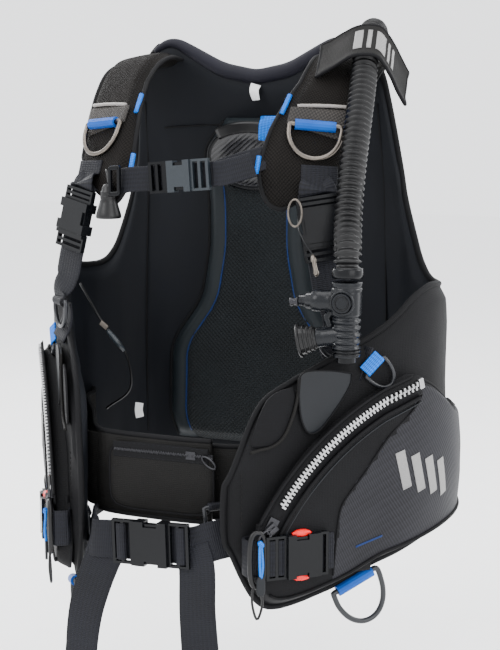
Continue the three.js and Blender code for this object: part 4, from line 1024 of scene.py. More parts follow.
def make_waistband():
    for side, suffix, reach, extra, low, high in (
        (-1, "right", [(20, -1), (-20, -2), (-46, 0)], 0, -173, -92),
        (1, "left", [(16, 0)], 8, -170, -98),
    ):
        points = spline(belt_line(side, reach, extra), 110)
        along = tangents(points)
        rows = 22
        rings, uv, run = [], [], 0.0
        for i, p in enumerate(points):
            out = V(along[i].y, -along[i].x, 0)
            if out.dot(V(p.x, p.y + 150, 0)) < 0:
                out.negate()
            run += (p - points[i - 1]).length if i else 0
            section = []
            for k in range(rows + 1):
                z = low + (high - low) * k / rows
                edge = min(z - low, high - z) / 7
                w = 1.2 + 1.6 * ease(edge) + 0.9 * folds(run, z, 40, 45, 5) * ease(edge)
                section.append((p + out * w + V(0, 0, z), (run, z)))
            for k in range(rows, -1, -1):
                z = low + (high - low) * k / rows
                section.append((p - out * 1.6 + V(0, 0, z), (run, z)))
            rings.append([q for q, _ in section])
            uv += [c for _, c in section]
        band = new_piece("belt_" + suffix, [q for r in rings for q in r], skin(rings), "cordura", uv)
        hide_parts("waistband_" + suffix)
        for name, z in (("top", high), ("bottom", low)):
            tube(f"belt_{name}_{suffix}", [p + V(0, 0, z) for p in points], 2.7, "tape", 8)

    # cloth that joins the wearer's right half to the lobe beside it
    join = [V(-70, -288, -133), V(-96, -276, -134), lobe(-1, 74, -135, LINING - 3)]
    tape("belt_join", join, [V(0, -1, 0), V(-0.4, -0.9, 0), V(-0.7, -0.7, 0)], 76, 2.4, "cordura", steps=24)

    # zipped pocket on the front of the wearer's right half
    y = -296.6
    x0, x1, z0, z1 = -62, 50, -166, -99
    rings = []
    cx, cz = (x0 + x1) / 2, (z0 + z1) / 2
    for grow, lift in ((0, 0), (0, 1.6), (2.5, 3.0), (6, 3.4)):
        hx, hz = (x1 - x0) / 2 - grow, (z1 - z0) / 2 - grow
        corners = [rounded_square(a, 6) for a in turns(40)]
        rings.append([V(cx + hx * c, y - lift, cz + hz * s) for c, s in corners])
    pocket = new_piece("belt_pocket", [p for r in rings for p in r], skin(rings), "cordura")
    tube("belt_pocket_piping", rings[1], 1.3, "tape", 6, True)
    z = -106
    places = [x0 + 6 + 0.66 * k for k in range(int((x1 - x0 - 12) / 0.66))]
    coil = [V(x, y - 4.4 + 0.3 * math.sin(x), z + 1.5 * math.sin(x * 2.4)) for x in places]
    tube("belt_zip_coil", coil, 0.75, "zip_dark", 6)
    for dz, row in ((-6.5, "low"), (6.5, "up")):
        line = [V(x, y - 3.9, z + dz) for x in range(x0 + 6, x1 - 4, 4)]
        stitches("belt_zip_stitches_" + row, line, "webbing", radius=0.4)
    flat = (V(cx, y - 3.3, z), V((x1 - x0) / 2 - 5, 0, 0), V(0, 0.8, 0), V(0, 0, 7.5))
    blocks("belt_zip_tape", [flat], "tape", 0.3)
    # loose pull on the slider
    pull = V(40, -302.6, -106)
    hang = V(0.86, -0.2, -0.5).normalized()
    sideways = hang.cross(V(0, 1, 0)) * 3.6
    loop = [pull + hang * (9 - 9 * math.cos(a)) + sideways * math.sin(a) for a in turns(18)]
    tube("belt_zip_pull", loop, 1.0, "zip_dark", 6, True, "waist_zip_pull")


# ------------------------------------------------------------------ cargo pockets, zips and pouches
ZIP_RADIUS, ZIP_RUN, ZIP_HEIGHT = 279.0, -124.0, -297.0
ZIP_START, ZIP_END = -26.0, 118.0  # runs of its two ends
POCKET_REAR, POCKET_FRONT = 212.0, U_SIDE + 136


def zip_height(run, grow=0.0):
    """The height of the zip's arc above a run along the lobe."""
    return ZIP_HEIGHT + math.sqrt(max(0.0, (ZIP_RADIUS + grow) ** 2 - (run - ZIP_RUN) ** 2))


CORNER_DROP, CORNER_LENGTH = 46.0, 85.0  # how the pocket's top falls behind the zip's upper end


def pocket_top(u):
    """The zip's arc, then a round corner down to the pocket's rear end."""
    back = max(0.0, ZIP_START - (u - U_SIDE))
    return zip_height(max(u - U_SIDE, ZIP_START)) + 9 - CORNER_DROP * ease(back / CORNER_LENGTH)


# where plain cloth ends and the ripstop panel begins: run and height
PANEL_EDGE = [(-60, 30), (-42, -32), (-24, -60), (-3, -82), (24, -118), (46, -146), (52, -190), (56, -260)]


def inset(run, z):
    """True where the pocket's face is plain cloth, between the zip and the ripstop panel's edge."""
    for (r0, z0), (r1, z1) in zip(PANEL_EDGE, PANEL_EDGE[1:]):
        if z1 <= z <= z0:
            return run > r0 + (r1 - r0) * (z0 - z) / (z0 - z1)
    return False


def pocket_face(u, z, top, low):
    """How far the pocket's swollen face stands out."""
    edge = min(z - low, top - z, (u - POCKET_REAR), (POCKET_FRONT - u) * 1.2)
    swell = 3.4 * ease(edge / 60) + 0.8 * noise.noise(V(u / 45, z / 40, 9))
    return 16 + 12.4 * ease(edge / 10) ** 0.7 + swell


def arc(side, run_from, run_to, count, grow, w):
    """Points along the zip's arc, grown outward by a distance."""
    out = []
    a0 = math.acos((run_from - ZIP_RUN) / ZIP_RADIUS)
    a1 = math.acos((run_to - ZIP_RUN) / ZIP_RADIUS)
    for i in range(count + 1):
        a = a0 + (a1 - a0) * i / count
        r = ZIP_RADIUS + grow
        out.append(lobe(side, ZIP_RUN + r * math.cos(a), ZIP_HEIGHT + r * math.sin(a), w))
    return out


def pocket_columns(count):
    """Places across the pocket, closer together towards both ends."""
    trim, shift, span = 0.12, 0.0352, 0.9296
    us = []
    for i in range(count + 1):
        share = (0.5 - 0.5 * math.cos(math.pi * (trim + (1 - 2 * trim) * i / count)) - shift) / span
        u = POCKET_REAR + (POCKET_FRONT - POCKET_REAR) * share
        us.append(min(POCKET_FRONT, max(POCKET_REAR, u)))
    return us


def make_pocket(side, suffix):
    columns, rows = 64, 34
    front, back, uv = [], [], []
    us = pocket_columns(columns)
    heights = []
    for u in us:
        low, top = eased(BOTTOM, u) + 6, pocket_top(u)
        shares = [0.5 - 0.5 * math.cos(math.pi * k / rows) for k in range(rows + 1)]
        heights.append([low + (top - low) * share for share in shares])
    for u, zs in zip(us, heights):
        for z in zs:
            front.append(wrap(side * u, z, pocket_face(u, z, zs[-1], zs[0])))
            back.append(wrap(side * u, z, SHELL + 0.5))
            uv.append((u, z))
    n = rows + 1
    uv += uv
    base = len(front)
    faces, kinds = [], []
    for i in range(columns):
        for k in range(rows):
            a = i * n + k
            faces.append((a, a + n, a + n + 1, a + 1))
            u, z = (us[i] + us[i + 1]) / 2, (heights[i][k] + heights[i][k + 1]) / 2
            edge = min(z - heights[i][0], heights[i][-1] - z)
            kinds.append(1 if edge < 7 or inset(u - U_SIDE, z) else 0)
    loop = border(columns, rows)
    for a, b in zip(loop, loop[1:] + loop[:1]):
        faces.append((a, b, base + b, base + a))
        kinds.append(1)
    if side < 0:
        faces = [f[::-1] for f in faces]
    pocket = new_piece("pocket_" + suffix, front + back, faces, ["ripstop", "shell"], uv, kinds)
    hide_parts("cargo_pocket_" + suffix)


def pocket_edge(side, u, z):
    """A place just off the pocket's face."""
    return wrap(side * u, z, pocket_face(u, z, pocket_top(u), eased(BOTTOM, u) + 6) + 0.5)


def make_pocket_piping(side, suffix):
    places = [POCKET_REAR + 10 + 3.2 * i for i in range(int((POCKET_FRONT - POCKET_REAR - 22) / 3.2))]
    bottom = [pocket_edge(side, u, eased(BOTTOM, u) + 15) for u in places]
    tube("pocket_piping_low_" + suffix, bottom, 1.7, "tape", 8)
    low = eased(BOTTOM, POCKET_REAR) + 15
    rear = [pocket_edge(side, POCKET_REAR + 10, low + 5.0 * k) for k in range(20)]
    tube("pocket_piping_rear_" + suffix, rear, 1.7, "tape", 8)
    places = [U_SIDE + ZIP_START + 6 - 2.5 * k for k in range(51)]
    corner = [pocket_edge(side, u, pocket_top(u) - 4) for u in places]
    tube("pocket_piping_top_" + suffix, corner, 1.9, "tape", 8)
    seam = [
        (-42, -33), (-33, -48), (-24, -60), (-3, -82), (10, -99), (24, -118), (36, -132), (46, -146),
        (50, -166), (52, -190), (53, -214),
    ]
    panel_edge = spline([pocket_edge(side, U_SIDE + r, z) for r, z in seam], 60)
    tube("pocket_panel_seam_" + suffix, panel_edge, 1.0, "tape", 6)


def make_long_zip(side, suffix):
    """The long zip's tape, piping, two rows of teeth and upper stop."""
    for name, grow, finish, r in (
        ("inner_piping", -13.5, "tape", 2.1),
        ("outer_piping", 9.5, "tape", 1.5),
        ("fine_piping", -18.5, "patch", 0.8),
    ):
        tube(f"zip_{name}_{suffix}", arc(side, ZIP_START, ZIP_END + 2, 90, grow, POCKET + 1.6), r, finish, 8)
    tape_rings = []
    section = ((-12, POCKET + 0.2), (-12, POCKET + 1.2),
               (0, POCKET + 2.0), (10, POCKET + 1.2), (10, POCKET + 0.2))
    for grow, w in section:
        tape_rings.append(arc(side, ZIP_START - 4, ZIP_END + 6, 80, grow, w))
    rings = [[r[i] for r in tape_rings] for i in range(81)]
    uv = [(i * 3.0, j * 5.5) for i in range(81) for j in range(5)]
    new_piece("zip_tape_" + suffix, [p for r in rings for p in r], skin(rings), "tape", uv)
    teeth = []
    pitch = 3.9
    last = ZIP_END - 10
    angle = math.acos((ZIP_START - ZIP_RUN) / ZIP_RADIUS) - math.acos((last - ZIP_RUN) / ZIP_RADIUS)
    count = int(ZIP_RADIUS * angle / pitch)
    centres = [arc(side, ZIP_START, last, count * 2, g, POCKET + 4.0) for g in (1.5, -1.5)]
    for line, shift in zip(centres, (0, 1)):
        for k in range(shift, len(line) - 1, 2):
            p = line[k]
            t = (line[k + 1] - line[max(k - 1, 0)]).normalized()
            out = outward(side * (U_SIDE + (10 if k > 0 else -30)), 0)
            out = (out - t * out.dot(t)).normalized()
            teeth.append((p, t * 1.15, out.cross(t) * 2.3, out * 1.6))
    blocks("zip_teeth_" + suffix, teeth, "silver", 0.5)
    end = arc(side, ZIP_START - 4, ZIP_START - 1, 2, 0, POCKET + 3.4)
    t = (end[2] - end[0]).normalized()
    out = outward(side * (U_SIDE - 30), 0)
    blocks("zip_stop_" + suffix, [(end[0], t * 3.0, out.cross(t) * 5.2, out * 1.9)], "silver", 1.0)


def make_zip_pull(side, suffix):
    """The slider's pull: dark wire, blue cord and a dark tab, which swing with the slider."""
    body = "zip_pull_L" if side > 0 else "zip_pull_R"
    head = lobe(side, ZIP_END + 1, zip_height(ZIP_END) - 3, POCKET + 7.5)
    down = lobe(side, ZIP_END + 17, zip_height(ZIP_END) - 15, POCKET + 8) - head
    down.normalize()
    out, _ = lobe_axes(side)
    across = down.cross(out).normalized()
    wire = circle(head + down * 8, down * -8, across * 4.0, 20)
    tube("zip_wire_" + suffix, wire, 1.1, "zip_dark", 8, True, body)
    plate = (head - down * 1 - out * 1.5, down * 5.5, across * 4.6, out * 1.6)
    ridge = (head - down * 1 + out * 0.8, down * 4.0, across * 1.3, out * 1.5)
    blocks("zip_head_" + suffix, [plate, ridge], "zip_dark", 0.8, body)
    knot = head + down * 15 + out * 2.5
    sag = V(0, 0, -1)
    for k, off in enumerate((-1.8, 1.8)):
        cord = [knot + across * off * 0.3, knot + across * off + sag * 8]
        cord += [knot + across * off * 1.3 + sag * 22 + out * 1.0, knot + across * off * 0.4 + sag * 34]
        tube(f"zip_cord_{suffix}_{k}", spline(cord, 20), 1.5, "blue_cord", 8, False, body)
    bead = [knot + across * x + sag * 2 for x in (-3.4, -1.5, 0, 1.5, 3.4)]
    tube("zip_knot_" + suffix, bead, [1.6, 2.8, 2.4, 2.8, 1.6], "blue_web", 8, False, body)
    tab = spline([knot + sag * 33, knot + sag * 40, knot + sag * 52], 12)
    widths = [5, 7, 8.5, 9, 9, 9, 9, 9, 9, 8.8, 8.2, 7, 4.5]
    strip("zip_tab_" + suffix, tab, [out] * 13, lambda i: webbing_section(widths[i], 2.6), "patch", body)


def make_pockets():
    for side, suffix in SIDES:
        make_pocket(side, suffix)
        make_pocket_piping(side, suffix)
        make_long_zip(side, suffix)
        make_zip_pull(side, suffix)


PULL_LIFT = 32.1  # how far the pouch's pull webbing stands out from the wrap
POUCH_MIDDLE = -188.0  # height of the pouch's centre line


def make_pouches():
    for side, suffix in SIDES:
        body = "pouch_L" if side > 0 else "pouch_R"
        out, forward = lobe_axes(side)

        def at(run, z, w):
            return lobe(side, 0, POUCH_MIDDLE, SHELL) + forward * run + V(0, 0, z) + out * (w - SHELL)

        # the pouch itself, mostly inside the pocket
        rings, uv = [], []
        for i in range(15):
            run = 9 + 118 * i / 14
            squeeze = min(1.0, 0.72 + 0.28 * math.sin(math.pi * i / 14) ** 0.5)
            ring_points = []
            for a in turns(28):
                c, s = rounded_square(a, 4)
                ring_points.append(at(run, 29 * c, 17.4 + 3.8 * squeeze * s))
                uv.append((run, 30 * math.cos(a)))
            rings.append(ring_points)
        points = [p for r in rings for p in r]
        pouch = new_piece("pouch_" + suffix, points, skin(rings), "shell", uv, body=body)
        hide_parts("weight_pouch_" + suffix)
        run = [at(126, 0, 15.5), at(136, 0, 15.8), at(140.8, 0, 18.5), at(141.0, 0, 27)]
        run += [at(139.5, 0, PULL_LIFT - 0.8), at(132, 0, PULL_LIFT), at(112, 0, PULL_LIFT)]
        normals = [out, out, forward + out * 0.6, forward, forward + out, out, out]
        pull = tape("pouch_pull_" + suffix, run, normals, 36, 2.4, "webbing", body, 44)
        # webbing wrapped on the socket's bars, and the stiff D-shaped grip behind it
        for k, run_at in enumerate((109, 119)):
            c = at(run_at, 0, 35.4)
            half_turns = [math.pi * j / 6 for j in range(13)]
            loop = [c + out * (2.9 * math.cos(a)) + forward * (3.6 * math.sin(a)) for a in half_turns]
            facing = [(p - c).normalized() for p in loop]
            tape(f"pouch_wrap_{suffix}_{k}", loop, facing, 34.5, 1.6, "webbing", body, 24)
        corners = [rounded_square(a, 3) for a in turns(26)]
        grip = [at(133 + 7.5 * c, 26 * s, PULL_LIFT + 3.4) for c, s in corners]
        tube("pouch_grip_" + suffix, grip, 2.6, "rubber", 10, True, body)
        # elastic cord that hangs from the grip
        hang = ((137, -24, 4), (139, -40, 5), (133, -58, 3), (128, -45, 3), (130, -26, 4))
        tail = spline([at(r, z, PULL_LIFT + w) for r, z, w in hang], 30)
        tube("pouch_cord_" + suffix, tail, 1.3, "rubber", 8, False, body)
        # red release tips of the prongs, which stay with the pocket
        for k, z in enumerate((21.2, -21.2)):
            dip = -0.6 if z > 0 else 0.6
            knots = ((79, dip), (82, 0), (88, 0), (94, 0), (98, dip))
            line = spline([at(r, z + drop, 35.4) for r, drop in knots], 12)
            tube(f"pouch_tip_{suffix}_{k}", line, spread([1.6, 3.4, 4.0, 3.4, 1.6], 12), "red_plastic", 10)
        anchor = [at(54, 0, 32.2), at(62, 0, 32.4), at(71, 0, 35.4)]
        tape("pouch_anchor_" + suffix, anchor, [out, out], 36, 2.0, "webbing", steps=12)


# ------------------------------------------------------------------ lobe panels and small parts on them
def sheet_on_lobe(name, side, outline, w, thick, finish, count=60):
    """A flat panel with a rounded outline of (run, z) knots on a lobe."""
    flat = spline([V(r, z, 0) for r, z in outline + outline[:1]], count)[:-1]
    centre = sum(flat, V(0, 0, 0)) / len(flat)
    rings = []
    for scale, lift in ((1.0, -1.0), (1.0, 0.5 * thick), (0.975, thick), (0.9, thick)):
        rings.append([centre.lerp(p, scale) + V(0, 0, lift) for p in flat])
    points = [lobe(side, p.x, p.y, w + p.z) for r in rings for p in r]
    uv = [(p.x, p.y) for r in rings for p in r]
    faces = skin(rings)
    if side < 0:
        faces = [f[::-1] for f in faces]
    return new_piece(name, points, faces, finish, uv), [lobe(side, p.x, p.y, w + thick) for p in flat]


def make_lobe_details():
    opening = [
        (90, -31), (104, -34), (115, -41), (122, -53), (128, -69), (131, -84), (118, -87), (104, -84),
        (95, -72), (90, -54), (87, -40),
    ]
    console_edge = [(84, -22), (86, -41), (92, -62), (101, -79), (112, -86), (124, -88), (133, -90)]
    patch_outline = [
        (31, -21), (52, -17), (80, -17), (84.5, -22), (85, -42), (81, -66), (74, -76), (66, -75), (58, -68),
        (32, -31),
    ]
    for side, suffix in SIDES:
        sheet_on_lobe("console_opening_" + suffix, side, opening, SHELL + 2.6, 1.0, "tape")
        rim = spline([lobe(side, r, z, SHELL + 5.2) for r, z in console_edge], 50)
        tube("console_rim_" + suffix, rim, 1.7, "cordura", 8)
        _, rim = sheet_on_lobe("console_patch_" + suffix, side, patch_outline, SHELL + 5.2, 1.2, "patch")
        tube("console_patch_rim_" + suffix, rim, 0.8, "tape", 6, True)
        # a row of stitches behind the lobe's front edge
        lip = [lobe(side, 141, z, SHELL + 1.6) for z in range(-160, -104, 4)]
        stitches("lobe_stitches_" + suffix, lip, "cordura", radius=0.5)
        out, forward = lobe_axes(side)
        slant = (forward * -0.72 + V(0, 0, 0.69)).normalized()
        centre = lobe(side, 8, -15, SHELL + 7)
        hang = out.cross(slant).normalized()
        if hang.z > 0:
            hang.negate()
        tab = [centre - hang * 9 - out * 2, centre - hang * 4 + out * 0.5, centre + hang * 1 + out * 2.6]
        tab += [centre + hang * 3.2, centre + hang * 1 - out * 2.2]
        tape("lobe_tab_" + suffix, tab, [out, out, out + hang, hang, -out], 22, 2.0, "blue_web", steps=18)
        ring("lobe_small_ring_" + suffix, centre + hang * 1.0, slant, hang, 24, 25, 1.8, "coated_wire")
    # plain slanted bars and a dull blue mark low on the ripstop panel
    for side, suffix in SIDES:
        bars = [((-8 - 14 * k, -100 - 5 * k), (-22 - 14 * k, -134 - 5 * k)) for k in range(4)]
        for k, ((r0, z0), (r1, z1)) in enumerate(bars):
            outline = [(r0, z0), (r0 - 8, z0 + 3), (r1 - 1, z1), (r1 + 7, z1 - 3)]
            pocket_mark(f"pocket_bar_{suffix}_{k}", side, outline, "stripe")
        dash = [(30, -187), (2, -179), (2, -181), (30, -189)]
        pocket_mark("pocket_mark_" + suffix, side, dash, "blue_piping")


def pocket_mark(name, side, outline, finish):
    """A thin print on the pocket's face between four (run, z) corners."""
    a, b, c, d = outline
    n = 8
    points, uv = [], []
    for i in range(n + 1):
        for j in range(n + 1):
            s, t = i / n, j / n
            r = (a[0] * (1 - s) + b[0] * s) * (1 - t) + (d[0] * (1 - s) + c[0] * s) * t
            z = (a[1] * (1 - s) + b[1] * s) * (1 - t) + (d[1] * (1 - s) + c[1] * s) * t
            u = U_SIDE + r
            face = pocket_face(u, z, pocket_top(u), eased(BOTTOM, u) + 6)
            points.append(wrap(side * u, z, face + 0.35))
            uv.append((r, z))
    thicken(new_piece(name, points, quads(n, n), finish, uv), 0.3)


# ------------------------------------------------------------------ hose, cover and inflator
HOSE = [
    V(112, -19, 238), V(122, -32, 272), V(133, -61, 299.4), V(139, -92, 301), V(145, -126, 284),
    V(152, -160, 248), V(158, -194, 208), V(163, -226, 162), V(168, -250, 120), V(174.5, -270, 92),
    V(175.5, -273, 70),
]


def make_hose():
    pitch = 6.4
    guide = spline(HOSE, 600)
    length = sum((b - a).length for a, b in zip(guide, guide[1:]))
    count = int(length / pitch)
    steps = 8
    points = spline(HOSE, count * steps)
    radii = []
    for i in range(count * steps + 1):
        wave = math.cos(2 * math.pi * (i % steps) / steps)
        rib = 13.5 - 3.4 * (0.5 + 0.5 * wave) ** 0.8
        end = min(i, count * steps - i)
        radii.append(13.2 if end < steps * 1.6 else rib)
    hose = tube("hose", points, radii, "rubber", 26)
    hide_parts("inflator_hose")
    path = [p * MM for p in spline(HOSE, 40)]
    # clamp at the inflator's collar
    end, before = points[-2], points[-14]
    clamp = [end.lerp(before, k / 4) for k in range(5)]
    tube("hose_clamp", clamp, [14.3, 14.8, 14.8, 14.8, 14.3], "plastic", 26)


def make_cover():
    centre = V(146.5, -132, 278.5)
    down = V(0.17, -0.78, -0.6).normalized()
    across = V(1, 0.2, 0.02)
    across = (across - down * across.dot(down)).normalized()
    above = down.cross(across).normalized()
    if above.z < 0:
        above.negate()
    profile = [
        (-48, -8), (-34, 0), (-22, 8), (-12, 14), (0, 16.2), (12, 14), (18.5, 4), (24, -10), (30, -28),
        (36, -44),
    ]
    line = spline([centre + across * s + above * n for s, n in profile], 60)

    def out_at(i):
        out = along[i].cross(down).normalized()
        if out.dot(above) < -0.2 or (i > 30 and out.dot(across) < 0):
            out.negate()
        return out
    along = tangents(line)
    rows = 18
    points, uv, run = [], [], 0.0
    for i, p in enumerate(line):
        out = out_at(i)
        run += (p - line[i - 1]).length if i else 0
        share = i / 60
        for j in range(rows + 1):
            v = -24 + 48 * j / rows
            flare = 1 + 0.10 * ease((share - 0.55) / 0.45) + 0.08 * ease((0.25 - share) / 0.25)
            ripple = 0.9 * noise.noise(V(run / 22, v / 18, 4)) + (1.2 * ease((abs(v) - 14) / 10))
            points.append(p + down * (v * flare) + out * ripple)
            uv.append((run, v))
    n = rows + 1
    cover = new_piece("cover_flap", points, quads(60, rows), "cordura", uv)
    thicken(cover, 2.4)
    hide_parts("hose_cover")
    rim = [points[i * n] for i in range(61)] + [points[60 * n + j] for j in range(1, n)]
    rim += [points[i * n + rows] for i in range(59, -1, -1)] + [points[j] for j in range(rows - 1, 0, -1)]
    tube("cover_binding", spline(rim + rim[:1], 200)[:-1], 1.9, "tape", 8, True)
    # plain reflective bars across the flap: first and last step of each
    for k, (first, last) in enumerate(((20, 24), (26, 28), (30, 36), (38, 40), (42, 44))):
        grid = []
        for i in range(first, last + 1):
            grid += [points[i * n + j] + out_at(i) * 1.55 for j in range(3, 15)]
        thicken(new_piece(f"cover_bar_{k}", grid, quads(last - first, 11), "stripe"), 0.3)


INFLATOR_TOP = V(175.5, -273, 67.2)


def barrel_section(z):
    """Half width, half depth and squareness of the inflator's body, a distance z below its top."""
    if z > -9:
        wide = 14.6 - 0.8 * (1 if -5.2 < z < -3.8 else 0)
        return wide, wide, 2.0
    if z > -30:
        return 13.4, 13.2, 3.0
    if z > -62:
        rib = 0.5 + 0.5 * math.cos(2 * math.pi * (z + 30) / 6.4)
        return 12.0 + 1.5 * rib, 12.0 + 1.9 * rib, 2.3
    wide = 11.6 + 1.3 * (1 if z < -67 else 0)
    return wide, wide, 2.0


def make_inflator():
    """The moulded valve body: a collar, a ribbed barrel and two arms towards the chest."""
    top = INFLATOR_TOP
    rings, uv = [], []
    for i in range(121):
        z = 0.2 - 70.2 * i / 120
        wide, deep, square = barrel_section(z)
        rings.append([])
        for a in turns(44):
            c, n = rounded_square(a, square)
            rings[-1].append(top + V(wide * c, -1 + deep * n, z))
            uv.append((a * 13, z))
    body = new_piece("valve_body", [p for r in rings for p in r], skin(rings), "controls", uv)
    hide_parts("inflator_body")
    inlet = [top + V(-8, -2, -18) + V(-1, -0.08, -0.02) * d for d in (0, 8, 14, 15, 24, 25, 30, 31, 37)]
    tube("inlet_arm", inlet, [11.0, 10.6, 9.8, 10.4, 10.4, 8.6, 8.2, 6.0, 5.6], "controls", 28)
    arm = spline([top + V(-4, -2, -50), top + V(-16, -3.5, -51.5), top + V(-27, -4.2, -53)], 24)
    tube("mouth_arm", arm, spread([11.0, 10.2, 9.6, 9.4, 9.8], 24), "controls", 28)
    web = [top + V(-12, -2, -26), top + V(-18, -2.6, -34), top + V(-15, -3, -43)]
    tube("arm_web", spline(web, 12), 4.2, "controls", 12)


def make_controls():
    make_inflator()
    top = INFLATOR_TOP
    # the button's rims and a moulded band at the lower end
    rim = circle(top + V(0, -14.9, -18), V(10.8, 0, 0), V(0, 0, 10.8), 32)
    tube("button_rim", rim, 1.3, "controls", 8, True)
    cap = circle(top + V(0, -17.2, -18), V(6.4, 0, 0), V(0, 0, 6.4), 28)
    tube("button_ring", cap, 0.8, "plastic", 6, True, "inflate")
    for k, z in enumerate((-67.5, -64.5)):
        band = circle(top + V(0, -1, z), V(12.5, 0, 0), V(0, 12.0, 0), 28)
        tube(f"lower_band_{k}", band, 1.3, "plastic", 6, True)
    # ribbed rubber rim of the mouthpiece and the metal nipple of the low-pressure inlet
    axis = V(-17.4, -3.9, -3.6).normalized()
    for k, (d, r) in enumerate(((3, 11.3), (7, 12.2), (11, 13.4), (16.4, 14.8))):
        c = top + V(-28.6, -4.1, -53.4) + axis * d
        side = axis.orthogonal().normalized()
        up = axis.cross(side)
        loop = circle(c, side * r, up * r, 28)
        tube(f"mouth_rib_{k}", loop, 0.9 if k < 3 else 1.7, "rubber", 8, True)
    nip = V(-14, -1, -1).normalized()
    nipple = [top + V(-46.5, -5, -20) + nip * d for d in (0, 1.2, 2.2, 5.5, 6.5, 8)]
    tube("inlet_nipple", nipple, [4.6, 4.6, 3.4, 3.4, 4.4, 4.0], "zip_dark", 16)
    # a lanyard with its clip and ring, from the strap to the inflator
    start = on_strap(1, 6.9, 12, 1)
    clip = V(137, -262, 90)
    cord = spline([start, start + V(4, -14, -22), V(122, -254, 108), clip], 30)
    tube("lanyard", cord, 0.9, "plastic", 6)
    tube("lanyard_ring", circle(V(115, -251, 128), V(7, 0, 0), V(0, 0, 13), 24), 1.1, "steel", 8, True)
    shank = [clip + V(0.3 * d, -0.2 * d, -d) for d in (0, 3, 5, 7, 14, 17, 20)]
    tube("lanyard_clip", shank, [1.2, 2.4, 3.0, 2.2, 2.2, 3.0, 1.4], "steel", 12)
    # pull cord of the dump toggle, out from under the wearer's right strap
    cord = [on_strap(-1, 6.4, 14, -8), V(-97, -228, 163), V(-91.5, -235.5, 153), V(-91, -236.6, 149.6)]
    tube("dump_cord", spline(cord, 24), 1.5, "rubber", 8)


# ------------------------------------------------------------------ inside details and the back
def make_inside_details():
    # small grey slider on an elastic cord, inside the wearer's right side
    a, b = V(-112, -202, -6), V(-96, -195, -28)
    grey = [a, a.lerp(b, 0.25), a.lerp(b, 0.5), b]
    tube("inner_slider", grey, [2.0, 3.0, 3.0, 2.2], "grey_plastic", 12)
    blocks("inner_slider_end", [(a + V(-4, 0, 5), V(4, 0, -3), V(0, 1.6, 0), V(1.6, 0, 2.4))], "steel", 0.7)
    cord = [V(-150, -190, 40), a, b, V(-96, -182, -70), V(-128, -176, -96)]
    tube("inner_cord", spline(cord, 40), 1.3, "rubber", 8)
    tag = [V(-112, -128, -98), V(-112, -130, -106), V(-111, -129, -114)]
    tape("inner_tag", tag, [V(0.6, -0.8, 0), V(0.6, -0.8, 0)], 9, 0.8, "label", steps=8)


def make_back():
    half = [(52, -17, 98), (52, -17, 124), (44, -1, 166)]
    handle = [V(*p) for p in half] + [V(0, 5, 184)] + [V(-x, y, z) for x, y, z in reversed(half)]
    line = spline(handle, 50)
    widths = [26 - 6 * ease(1 - abs(i - 25) / 10) for i in range(51)]
    grip = strip("grab_handle", line, [V(0, 1, 0)] * 51, lambda i: webbing_section(widths[i], 3.2), "webbing")
    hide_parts("carry_handle")
    strip("grab_sleeve", line[17:34], [V(0, 1, 0)] * 17, lambda i: webbing_section(24, 7), "rubber")
    radius, thick = 94.2, 2.4
    half = [(0, -29.4), (26, -29.4), (47, -29.4), (52, -26), (54, -18)]
    points = [V(x, y, 45) for x, y in half]
    for i in range(17):
        a = math.radians(-42 + 264 * i / 16)
        points.append(V(radius * math.cos(a), 92 + radius * math.sin(a), 45))
    points += [V(-x, y, 45) for x, y in reversed(half)]
    line = spline(points, 150)
    along = tangents(line)
    facing = [V(t.y, -t.x, 0) for t in along]
    band = strip("tank_band", line, facing, lambda i: webbing_section(50, thick), "webbing")
    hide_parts("cylinder_band")


# ------------------------------------------------------------------ D-rings and the dump toggle
def d_ring(node, body, size, centre, hang, facing, finish):
    """A wire ring shaped and placed as the CAD's: a straight bar across, and a bow that hangs."""
    wide, drop, wire = size
    across = facing.cross(hang).normalized()
    half = wide / 2
    knots = [centre + across * x for x in (-half, -half / 2, 0, half / 2, half)]
    for i in range(1, 13):
        a = math.pi * i / 13
        knots.append(centre + across * ((half + 1) * math.cos(a)) + hang * (drop * math.sin(a) ** 0.8))
    line = spline(knots + knots[:1], 120)[:-1]
    piece = tube("wire_" + node, line, wire, finish, 14, True, body)
    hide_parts(node)


def make_rings():
    strap_out = V(0.38, -0.84, 0.39).normalized()
    down = V(0.08, -0.4, -0.91).normalized()
    down = (down - strap_out * down.dot(strap_out)).normalized()
    chest = V(111, -186.2, 204) + strap_out * 12.7
    for side, suffix in SIDES:
        letter = suffix[0].upper()
        down_here, out_here = mirrored(down, side), mirrored(strap_out, side)
        node, body = "chest_ring_" + suffix, "chest_ring_" + letter
        d_ring(node, body, (50, 34, 2.5), mirrored(chest, side), down_here, out_here, "steel")
        out = mirrored(V(math.sin(LEFT_TURN), math.cos(LEFT_TURN), 0), side)
        centre = mirrored(LOBE_RINGS[side], side)
        node, body = "lobe_ring_" + suffix, "lobe_ring_" + letter
        d_ring(node, body, (34, 27, 2.2), centre, V(0, 0, -1), out, "coated_wire")
        facing, forward = lobe_axes(side)
        u = U_SIDE + (24 if side > 0 else 106)
        slope = (height(BOTTOM, u + 20) - height(BOTTOM, u - 20)) / 40
        hang = (forward * slope + V(0, 0, -1)).normalized()
        at = wrap(side * u, height(BOTTOM, u), SHELL - 3) + hang * 6.3
        node, body = "bottom_ring_" + suffix, "bottom_ring_" + letter
        d_ring(node, body, (50, 44, 2.7), at, hang, facing, "coated_wire")


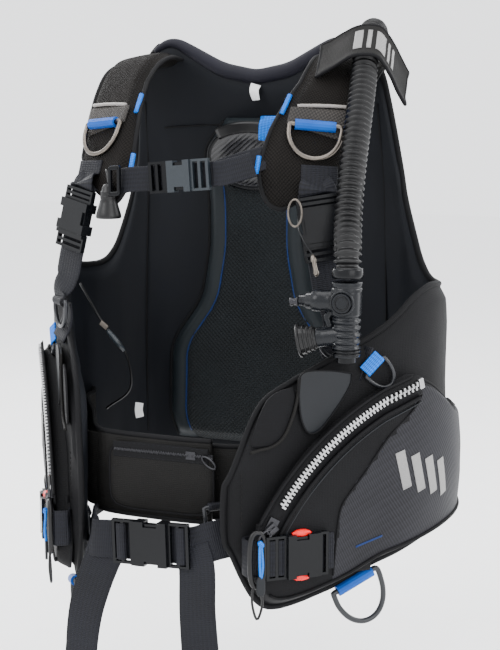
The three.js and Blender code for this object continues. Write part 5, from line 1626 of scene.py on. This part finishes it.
def make_toggle():
    # distance below the toggle's top, and radius
    profile = [
        (0, 2.6), (1.5, 5.2), (4, 6.4), (7, 7.0), (8, 8.0), (10, 8.0), (11, 7.4), (12.5, 8.4), (14.5, 8.4),
        (15.5, 8.0), (20, 9.4), (27, 11.4), (31, 12.6), (34, 12.9), (35, 12.0), (35, 7.0), (33, 3.0),
    ]
    rings = [circle(V(-91, -236.6, 150 - d), V(r, 0, 0), V(0, r, 0), 36) for d, r in profile]
    bell = new_piece("toggle_bell", [p for r in rings for p in r], skin(rings), "rubber", body="dump_pull")
    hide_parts("dump_toggle")


# ------------------------------------------------------------------ CAD nodes that keep their shape
KEPT_LOOKS = {  # finish and bevel of each node that keeps its shape
    "chest_ring_sleeve": ("blue_web", 0.6), "bottom_ring_sleeve": ("blue_web", 0.6),
    "shoulder_buckle_socket": ("plastic", 0.9), "shoulder_buckle_prongs": ("plastic", 0.8),
    "chest_buckle_socket": ("grey_plastic", 0.8), "chest_buckle_prongs": ("plastic", 0.8),
    "waist_buckle_socket": ("plastic", 1.6), "waist_buckle_prongs": ("plastic", 1.3),
    "pouch_buckle_socket": ("plastic", 0.9), "pouch_buckle_prongs": ("plastic", 0.8),
    "zip_slider": ("zip_dark", 0.5), "waistband_zip_slider": ("zip_dark", 0.5),
    "hose_elbow": ("plastic", 0.8), "inflate_button": ("controls", 0.8),
    "deflate_button": ("plastic", 0.8), "mouthpiece": ("rubber", 0.9),
    "rear_dump_valve": ("plastic", 1.2), "backpack_plate": ("plastic", 1.6), "cylinder_face": ("rubber", 1.0),
    "cam_buckle_base": ("plastic", 0.8), "cam_buckle_lever": ("grey_plastic", 0.9),
}


def finish_nodes():
    for name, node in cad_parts.items():
        stem = name.removesuffix("_left").removesuffix("_right")
        if stem not in KEPT_LOOKS:
            continue
        finish, bevel = KEPT_LOOKS[stem]
        for slot in node.material_slots:
            slot.material = MATERIALS[finish]
        rounded(node, bevel, 3, 40)


make_materials()
make_stage()
make_hose()
make_jacket()
make_back_pad()
make_straps()
make_lower_straps()
make_chest_webbing()
make_waist_webbing()
make_waistband()
make_pockets()
make_pouches()
make_lobe_details()
make_cover()
make_controls()
make_inside_details()
make_back()
make_rings()
make_toggle()
finish_nodes()
